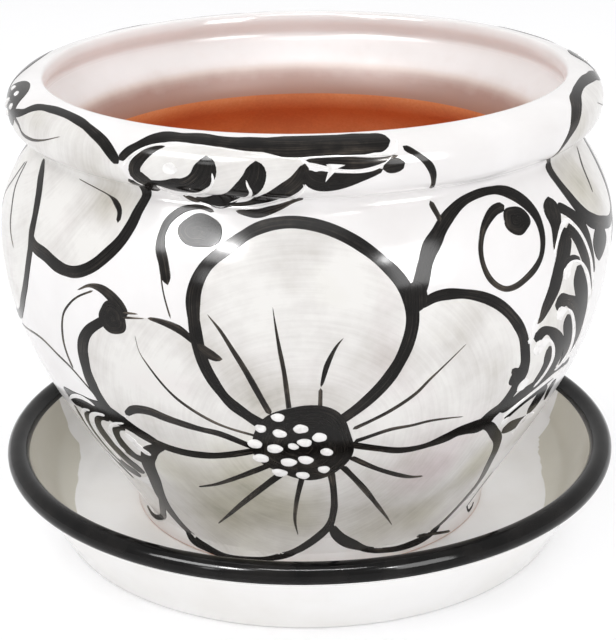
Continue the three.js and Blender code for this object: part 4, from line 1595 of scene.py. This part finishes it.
class CollarLeaf(Motif):
    """The long leaf on the collar: a black band along its upper edge and curling commas under it."""

    MESH_PITCH = 1.1
    WASHES = (
        (((-66, 186), (-62, 192), (-52, 196.5), (-36, 198.5), (-20, 198), (-4, 196), (-1, 192), (-5, 186),
          (-14, 182), (-28, 179.5), (-42, 178.5), (-54, 179), (-63, 181)), (-34, 188)),
    )
    BLACK = (
        ((-70.5, 190, 2.5), (-67.1, 193, 3.4), (-63.5, 195.7, 3.5), (-59.2, 198.9, 5), (-54, 201.3, 5.6),
         (-48, 201.8, 5.3), (-39.8, 202.2, 6.2), (-33.7, 201.5, 5.9), (-27.2, 201, 6.5),
         (-20.5, 200.9, 7.8), (-13.2, 200.7, 8.9), (-5.9, 200.5, 10), (1.2, 200.8, 10.4), (8.4, 201, 10.5),
         (15.7, 200.9, 10.5), (23, 200.9, 10.5), (27.5, 200.8, 10.2), (30.8, 200.6, 8.7)),
        ((-52.3, 197, 0.7), (-55.5, 195.8, 2), (-58.7, 193.8, 3.3), (-61.3, 191.5, 3.9),
         (-63.6, 188.8, 4.6), (-64, 186.1, 5.3), (-62.1, 184, 6), (-59.6, 181.8, 6), (-63.4, 173.7, 6)),
        ((-35.8, 194.9, 3.8), (-35.5, 192.2, 7), (-36.3, 189.1, 8.4), (-39.2, 185.6, 7.8),
         (-44.2, 182.5, 8.4), (-49, 182.3, 7.7), (-54.1, 182.9, 3.7), (-58.6, 183.1, 2.5)),
        ((-49.5, 173.2, 0.8), (-45.8, 172.4, 1.8), (-42.4, 171.5, 0.7)),
        ((-17.8, 194, 3.3), (-17.6, 191.4, 6.6), (-18.4, 187.9, 8), (-21.2, 183.9, 8), (-26.6, 178.7, 8),
         (-33.6, 173.2, 6.6), (-39.5, 172.4, 2.4), (-44.5, 172.7, 1.2)),
        ((-0.6, 193.2, 2.3), (-1.5, 190.2, 4.6), (-3.8, 186.7, 6.3), (-7.8, 183.1, 7.5),
         (-13.8, 177.3, 7.5), (-21.3, 172.7, 2.1), (-28.5, 171.4, 1.3), (-35.2, 170.3, 0.6)),
        ((-27.4, 169.3, 0.9), (-23.4, 168.9, 2.3), (-18.8, 168.8, 3.2), (-14.3, 170, 3.2),
         (-10.1, 171.4, 2.2), (-5.8, 173.3, 1.7), (-1.6, 175.9, 3.4)),
        ((-0.3, 191.2, 2.6), (1.4, 188.4, 5.8), (4.8, 186.9, 7.1), (9.3, 186.6, 6.8), (14.2, 187.1, 5.3),
         (18.7, 187.9, 3.5), (23, 188.9, 2.3), (26.5, 190.3, 1.8)),
        ((-0.3, 194.3, 1), (3.2, 194.1, 2), (8.4, 193.6, 3.5), (13.6, 193.1, 4.2), (18.8, 192.8, 3.9),
         (23.8, 193, 2.8), (28.5, 193.7, 1.5), (32.2, 194.4, 1)),
        ((26.5, 190.3, 2.8), (28.7, 190.9, 4.8), (31.2, 191.2, 5.7), (33.4, 191.5, 4.7),
         (34.5, 191.9, 2.7)),
    )
    SLIP = (
        ((-68.9, 188, 1.3), (-66.9, 190.6, 0.9), (-63.7, 193.4, 0.7), (-59.7, 195.8, 0.8),
         (-55.3, 197.5, 0.7), (-48.8, 198.6, 0.6), (-38.9, 198.5, 0.6), (-29.3, 197.8, 0.5),
         (-20, 196.6, 0.5), (-11.1, 195.5, 0.5), (-3.4, 194.7, 0.6)),
        ((-3.4, 194.5, 0.7), (-0.6, 195.1, 0.8), (4.6, 195.4, 0.7), (11.6, 195.4, 0.7), (18.7, 195.3, 0.7),
         (25.8, 195.1, 0.7), (31, 195.4, 0.9), (32.6, 197.8, 1.1), (33.4, 200.8, 0.9)),
        ((-1.7, 193.7, 0.6), (1.8, 192.8, 0.7), (5.2, 191.9, 0.7), (9.7, 190.8, 0.7), (14.9, 190, 0.8),
         (20.1, 189.9, 0.8), (23.7, 190.5, 0.8), (26.5, 191.7, 0.7), (28.6, 193.2, 0.6),
         (30.1, 194.4, 0.5)),
        ((6.6, 192.7, 0.8), (9.4, 192.1, 1.6), (13.2, 192.4, 0.5)),
        ((9.7, 191.6, 2.3), (8.1, 190, 1.9), (6.4, 187, 0.3)),
        ((-33.3, 189.3, 0.9), (-33.2, 186.4, 1.2), (-35.3, 182.8, 1.3), (-41.6, 177.1, 1.7),
         (-48.6, 173.3, 0.7)),
        ((-21.2, 187.5, 0.6), (-20.7, 185, 1.1), (-20, 182.4, 1.3), (-23.1, 176.2, 1.7), (-28, 173, 0.8),
         (-33.7, 171.1, 0.5)),
        ((-1.4, 186.3, 0.5), (-0.9, 184.2, 0.8), (-2.6, 181.6, 1.3), (-6.5, 174.9, 1.7),
         (-12.4, 172.8, 0.7), (-19, 171.2, 0.5), (-23.9, 169.8, 0.4)),
        ((-55.3, 181.1, 1.4), (-55.5, 173.8, 1.2), (-50.6, 172.1, 0.6)),
    )
    # One square-ish white dab on the leaf's grey wash.
    SLIP_DABS = ((-49.3, 189.5, 5.4, 4.4, 0.0, 5),)


class SideFlowerHalf(Motif):
    """Half of a flower that opens over the collar at the pot's side; u is counted from its middle."""

    MESH_PITCH = 1.1
    SWEEP = (0.0, 194.5)
    SMEARS = ((78, 167, 12, 0.2, -0.4), (69, 151, 14, -0.05, 0), (50, 158, 16, -0.08, 0),
              (72, 188, 14, 0.06, -0.3), (40, 197, 14, 0.05, -0.2))
    BLACK = (
        ((12, 192, 3), (24, 195, 3.4), (30.3, 198.9, 3.9), (36.6, 200.9, 3.9), (44.2, 201.8, 4.2),
         (54.8, 201.8, 4.1), (64.6, 200.4, 4.1), (74.3, 197.6, 3.6), (81.4, 194.8, 4), (86.3, 191.3, 4.5),
         (89, 188.6, 4)),
        ((92, 183, 3), (93.8, 178, 4), (93.5, 174.5, 5), (93.7, 171, 4), (92.1, 165.1, 4.5),
         (91.1, 159.9, 4.5), (88.6, 153.9, 4.5), (83.9, 148.2, 4.6), (77.5, 142.7, 4.5),
         (69.1, 139, 4.4), (60.1, 138.8, 5), (50.8, 140.9, 5), (42.7, 141.9, 5), (38, 144.5, 5)),
        ((19.5, 171, 2), (25.6, 166.1, 4), (32.9, 159.4, 4), (37.4, 152.3, 4.2), (38.7, 146.1, 4.5),
         (39.6, 139.8, 4.3), (36.5, 129, 4), (31.4, 120.6, 4), (18.4, 107.8, 4), (0, 102, 3.4)),
    )
    WASHES = (
        (((8, 190), (24, 194), (30.3, 198.5), (44.2, 201), (54.8, 201.2), (64.6, 200), (74.3, 197),
          (81.4, 194), (88.2, 188.5), (93, 182), (93.5, 174.5), (92.1, 165.1), *places(BLACK[1][6:12]),
          (41, 143), *places(BLACK[2][3:0:-1]), (19, 172), (10, 181)), (56, 172)),
    )
    FINE = (
        ((14, 191.5, 2), (22.4, 189.7, 2), (25.4, 187.5, 2), (35, 187.3, 1.5), (46.3, 189.4, 0.8),
         (58.2, 193, 0.4)),
        ((54.9, 170.9, 0.5), (67.4, 169.7, 0.6), (76.4, 168.3, 0.8), (80.7, 166.5, 2.3), (83.9, 163.8, 2.2),
         (84.9, 159.8, 1.9)),
        ((1.5, 165, 1.5), (5.1, 155.8, 1.5), (12, 148.6, 1.5), (17.1, 141.2, 1.5), (23.1, 135.7, 1)),
    )


class RightFlowerHalf(SideFlowerHalf):
    """The half of the right side's flower that the photograph shows, with its own outline."""

    SMEARS = ((66, 154, 12, 0.12, -0.4), (52, 165, 14, -0.06, 0), (79, 160, 12, 0.12, -0.4),
              (80, 188, 10, 0.1, -0.2))
    BLACK = (
        ((12, 192, 3.4), (25.3, 196.7, 5), (45.3, 201.4, 5), (61.5, 202, 4), (74.4, 199.3, 5.2),
         (81.7, 195.3, 5.3), (86.9, 191.7, 5.4), (91.1, 188.1, 3), (94.6, 184.5, 1.9), (95.4, 180.7, 1.5),
         (91, 176, 1.6), (87.3, 172.2, 3), (88.8, 169.2, 4.4), (87.9, 164.4, 4.4), (85.9, 158.7, 5),
         (82.5, 152.1, 5.7), (76.5, 146.1, 6.4), (61.6, 140.5, 5), (48.7, 137.6, 4.5), (39, 140, 4)),
        SideFlowerHalf.BLACK[2],
        ((66, 142.5, 10), (67.6, 138.5, 16.5), (68.5, 135, 19), (69.4, 131.4, 16.5), (70.1, 128.2, 8)),
    )
    WASHES = (
        (((8, 190), (25, 195.5), (45.3, 200.8), (61.5, 201.3), (74.4, 198.8), (81.7, 194.8), (86.9, 191.2),
          (92, 186), (95, 180.7), (90, 174), (88.3, 169.2), (87.4, 164.4), (85.4, 158.7), (82, 152.1),
          (76, 146.6), (61.6, 141), (48.7, 138), (41, 141), (37.4, 152.3), (32.9, 159.4), (25.6, 166.1),
          (19, 172), (10, 181)), (56, 172)),
    )
    FINE = (
        ((51.4, 169.6, 0.9), (60.1, 162.7, 1.6), (64.5, 153.2, 1.2)),
        SideFlowerHalf.FINE[0],
        SideFlowerHalf.FINE[2],
    )


class SideFlowerMiddle(Motif):
    """What the two halves of a side flower share: the petal that hangs down, the heart and its dots."""

    SWEEP = (0.0, 194.5)
    RIGHT_EDGE = ((19, 172), (25.6, 166.1), (32.9, 159.4), (37.4, 152.3), (39.6, 139.8), (36.5, 129),
                  (31.4, 120.6), (18.4, 107.8))
    WASHES = ((((0, 182), *RIGHT_EDGE, (0, 102), *mirrored(RIGHT_EDGE)), (0, 142)),)
    BLACK_DABS = ((0, 194.5, 31, 18),)
    SLIP_DABS = ((-8, 197.5, 2.9, 2.6, 0.6), (-2, 193.5, 3, 2.5, 0.6), (3.5, 198, 2.8, 2.5, 0.6),
                 (8, 193.5, 2.9, 2.6, 0.6), (1, 189.5, 3, 2.4, 0.6), (-7, 190.5, 2.7, 2.4, 0.6))


# Studio


@dataclass(frozen=True)
class Lamp:
    """A soft lamp, or a card that only the glaze mirrors: place in degrees, size in metres.

    The azimuth is counted from the painted front toward the right, the elevation up from the pot's middle.
    """

    name: str
    sees: Ray
    azimuth: float
    elevation: float
    width: float
    height: float
    radiance: float


@dataclass
class Studio:
    """Floor, soft lights, white surroundings and the camera."""

    lamps: tuple[Lamp, ...] = (
        Lamp("softbox_left", Ray.LIGHT, -44.0, 45.0, 0.6, 0.42, 1.3),
        Lamp("side_left", Ray.LIGHT, -100.0, 52.0, 0.6, 0.45, 2.2),
        Lamp("side_right", Ray.LIGHT, 102.0, 52.0, 0.6, 0.45, 1.6),
        Lamp("softbox_right", Ray.LIGHT, 42.0, 25.0, 0.5, 0.4, 1.2),
        Lamp("front_fill", Ray.LIGHT, 2.0, 18.0, 0.5, 0.35, 2.3),
        Lamp("front_top", Ray.LIGHT, 0.0, 40.0, 0.5, 0.35, 0.4),
        Lamp("card_left", Ray.REFLECTION, -44.0, 36.5, 0.62, 0.36, 24.0),
        Lamp("card_left_core", Ray.REFLECTION, -31.5, 38.0, 0.12, 0.09, 190.0),
        Lamp("card_left_low", Ray.REFLECTION, -34.5, 15.0, 0.09, 0.24, 12.0),
        Lamp("card_right", Ray.REFLECTION, 38.5, 20.0, 0.42, 0.66, 12.0),
        Lamp("card_right_core", Ray.REFLECTION, 28.8, 28.5, 0.04, 0.1, 190.0),
        Lamp("card_front_line", Ray.REFLECTION, -1.0, 56.0, 0.62, 0.04, 110.0),
        Lamp("card_top", Ray.REFLECTION, 0.0, 47.0, 1.0, 0.14, 0.3),
    )

    camera_place: tuple[float, float, float] = (-1.9, -671.0, 344.0)
    pitch: float = 21.3
    roll: float = 0.8
    focal_px: float = 1768.0
    centre_px: Place = (303.2, 320.2)
    sensor: float = 36.0
    lamp_distance: float = 1.2
    aim: tuple[float, float, float] = (0.0, 0.0, 0.12)
    floor_half: float = 6.0
    world_diffuse: float = 1.08

    def camera(self) -> bpy.types.Object:
        """Sets the camera at the photograph's viewpoint and returns it."""
        data = bpy.data.cameras.new("photograph_camera")
        data.sensor_width = self.sensor
        data.lens = self.focal_px * self.sensor / IMAGE_HEIGHT
        data.shift_x = (IMAGE_WIDTH / 2 - self.centre_px[0]) / IMAGE_HEIGHT
        data.shift_y = (self.centre_px[1] - IMAGE_HEIGHT / 2) / IMAGE_HEIGHT
        data.clip_start = 0.01
        thing = bpy.data.objects.new("photograph_camera", data)
        tilt = Euler((math.radians(90 - self.pitch), 0, 0)).to_matrix().to_4x4()
        lean = Matrix.Rotation(math.radians(-self.roll), 4, "Z")
        place = Matrix.Translation(Vector(self.camera_place) * MM)
        thing.matrix_world = place @ tilt @ lean
        bpy.context.collection.objects.link(thing)
        bpy.context.scene.camera = thing
        return thing

    def hang(self, lamp: Lamp) -> None:
        """Hangs one soft lamp or card, facing the pot."""
        data = bpy.data.lights.new(lamp.name, "AREA")
        data.shape = "RECTANGLE"
        data.size, data.size_y = lamp.width, lamp.height
        data.energy = lamp.radiance * math.pi * lamp.width * lamp.height
        thing = bpy.data.objects.new(lamp.name, data)
        thing.visible_camera = False
        thing.visible_diffuse = lamp.sees is Ray.LIGHT
        thing.visible_glossy = lamp.sees is Ray.REFLECTION
        a, e = math.radians(lamp.azimuth), math.radians(lamp.elevation)
        toward = Vector((math.sin(a) * math.cos(e), -math.cos(a) * math.cos(e), math.sin(e)))
        thing.location = Vector(self.aim) + toward * self.lamp_distance
        thing.rotation_euler = toward.to_track_quat("Z", "Y").to_euler()
        bpy.context.collection.objects.link(thing)

    def floor(self) -> bpy.types.Object:
        """Lays the pale floor and returns it."""
        half = self.floor_half
        mesh = bpy.data.meshes.new("studio_floor")
        corners = [(-half, -half, 0), (half, -half, 0), (half, half, 0), (-half, half, 0)]
        mesh.from_pydata(corners, [], [(0, 1, 2, 3)])
        mesh.materials.append(StudioFloor().material())
        thing = bpy.data.objects.new("studio_floor", mesh)
        bpy.context.collection.objects.link(thing)
        return thing

    def surroundings(self) -> None:
        """Makes the world: white to the camera and in reflections, softer as light on the object."""
        world = bpy.data.worlds.new("white_surroundings")
        bpy.context.scene.world = world
        s = Shader(world)
        ray = s.add("ShaderNodeLightPath").outputs
        seen = s.add("ShaderNodeMath", {0: ray["Is Camera Ray"], 1: ray["Is Glossy Ray"]},
                     operation="MAXIMUM")
        shown = s.add("ShaderNodeMath", {0: seen.outputs[0], 1: ray["Is Transmission Ray"]},
                      operation="MAXIMUM")
        level = s.add("ShaderNodeMapRange", {"Value": shown.outputs[0], "To Min": self.world_diffuse,
                                             "To Max": 1.0})
        glow = s.add("ShaderNodeBackground", {"Strength": level.outputs["Result"]})
        s.finish(glow.outputs[0], "World")

    def build(self) -> None:
        """Sets up the whole studio."""
        bpy.context.scene.view_settings.view_transform = "Standard"
        self.camera()
        self.floor()
        self.surroundings()
        for lamp in self.lamps:
            self.hang(lamp)


def main() -> None:
    """Builds the object and the studio."""
    logging.basicConfig(level=logging.INFO, format="%(message)s")
    Studio().build()
    Saucer().build()
    pot = Pot()
    pot.build()
    wall = pot.wall()
    pigments = Pigments.mixed()
    front = Placement()
    back = Placement(origin=BACK_ORIGIN, gain=-BACK_GAIN, drift=1.6, seed=3)
    # The back's collar leaf lies a little lower, so that its band doesn't show over the crest from the front.
    back_collar = replace(back, rise=-2.2)
    for side, placement, collar in (("front", front, front), ("back", back, back_collar)):
        Flower(wall, pigments, placement, f"{side}_flower").build()
        Scrolls(wall, pigments, placement, f"{side}_scrolls").build()
        SideLeaf(wall, pigments, placement, f"{side}_tall_leaf").build()
        LowLeaf(wall, pigments, placement, f"{side}_low_leaf").build()
        CollarLeaf(wall, pigments, collar, f"{side}_collar_leaf").build()
    halves = (
        ("left_flower_front", SideFlowerHalf, Placement(LEFT_FLOWER, 1.0)),
        ("left_flower_back", SideFlowerHalf, Placement(LEFT_FLOWER, -1.0, 1.2, 5)),
        ("left_flower_middle", SideFlowerMiddle, Placement(LEFT_FLOWER, 1.0)),
        ("right_flower_front", RightFlowerHalf, Placement(RIGHT_FLOWER, -1.0)),
        ("right_flower_back", SideFlowerHalf, Placement(RIGHT_FLOWER, 1.0, 1.2, 7)),
        ("right_flower_middle", SideFlowerMiddle, Placement(RIGHT_FLOWER, -1.0)),
    )
    for name, motif, placement in halves:
        motif(wall, pigments, placement, name).build()


if __name__ == "__main__":
    main()
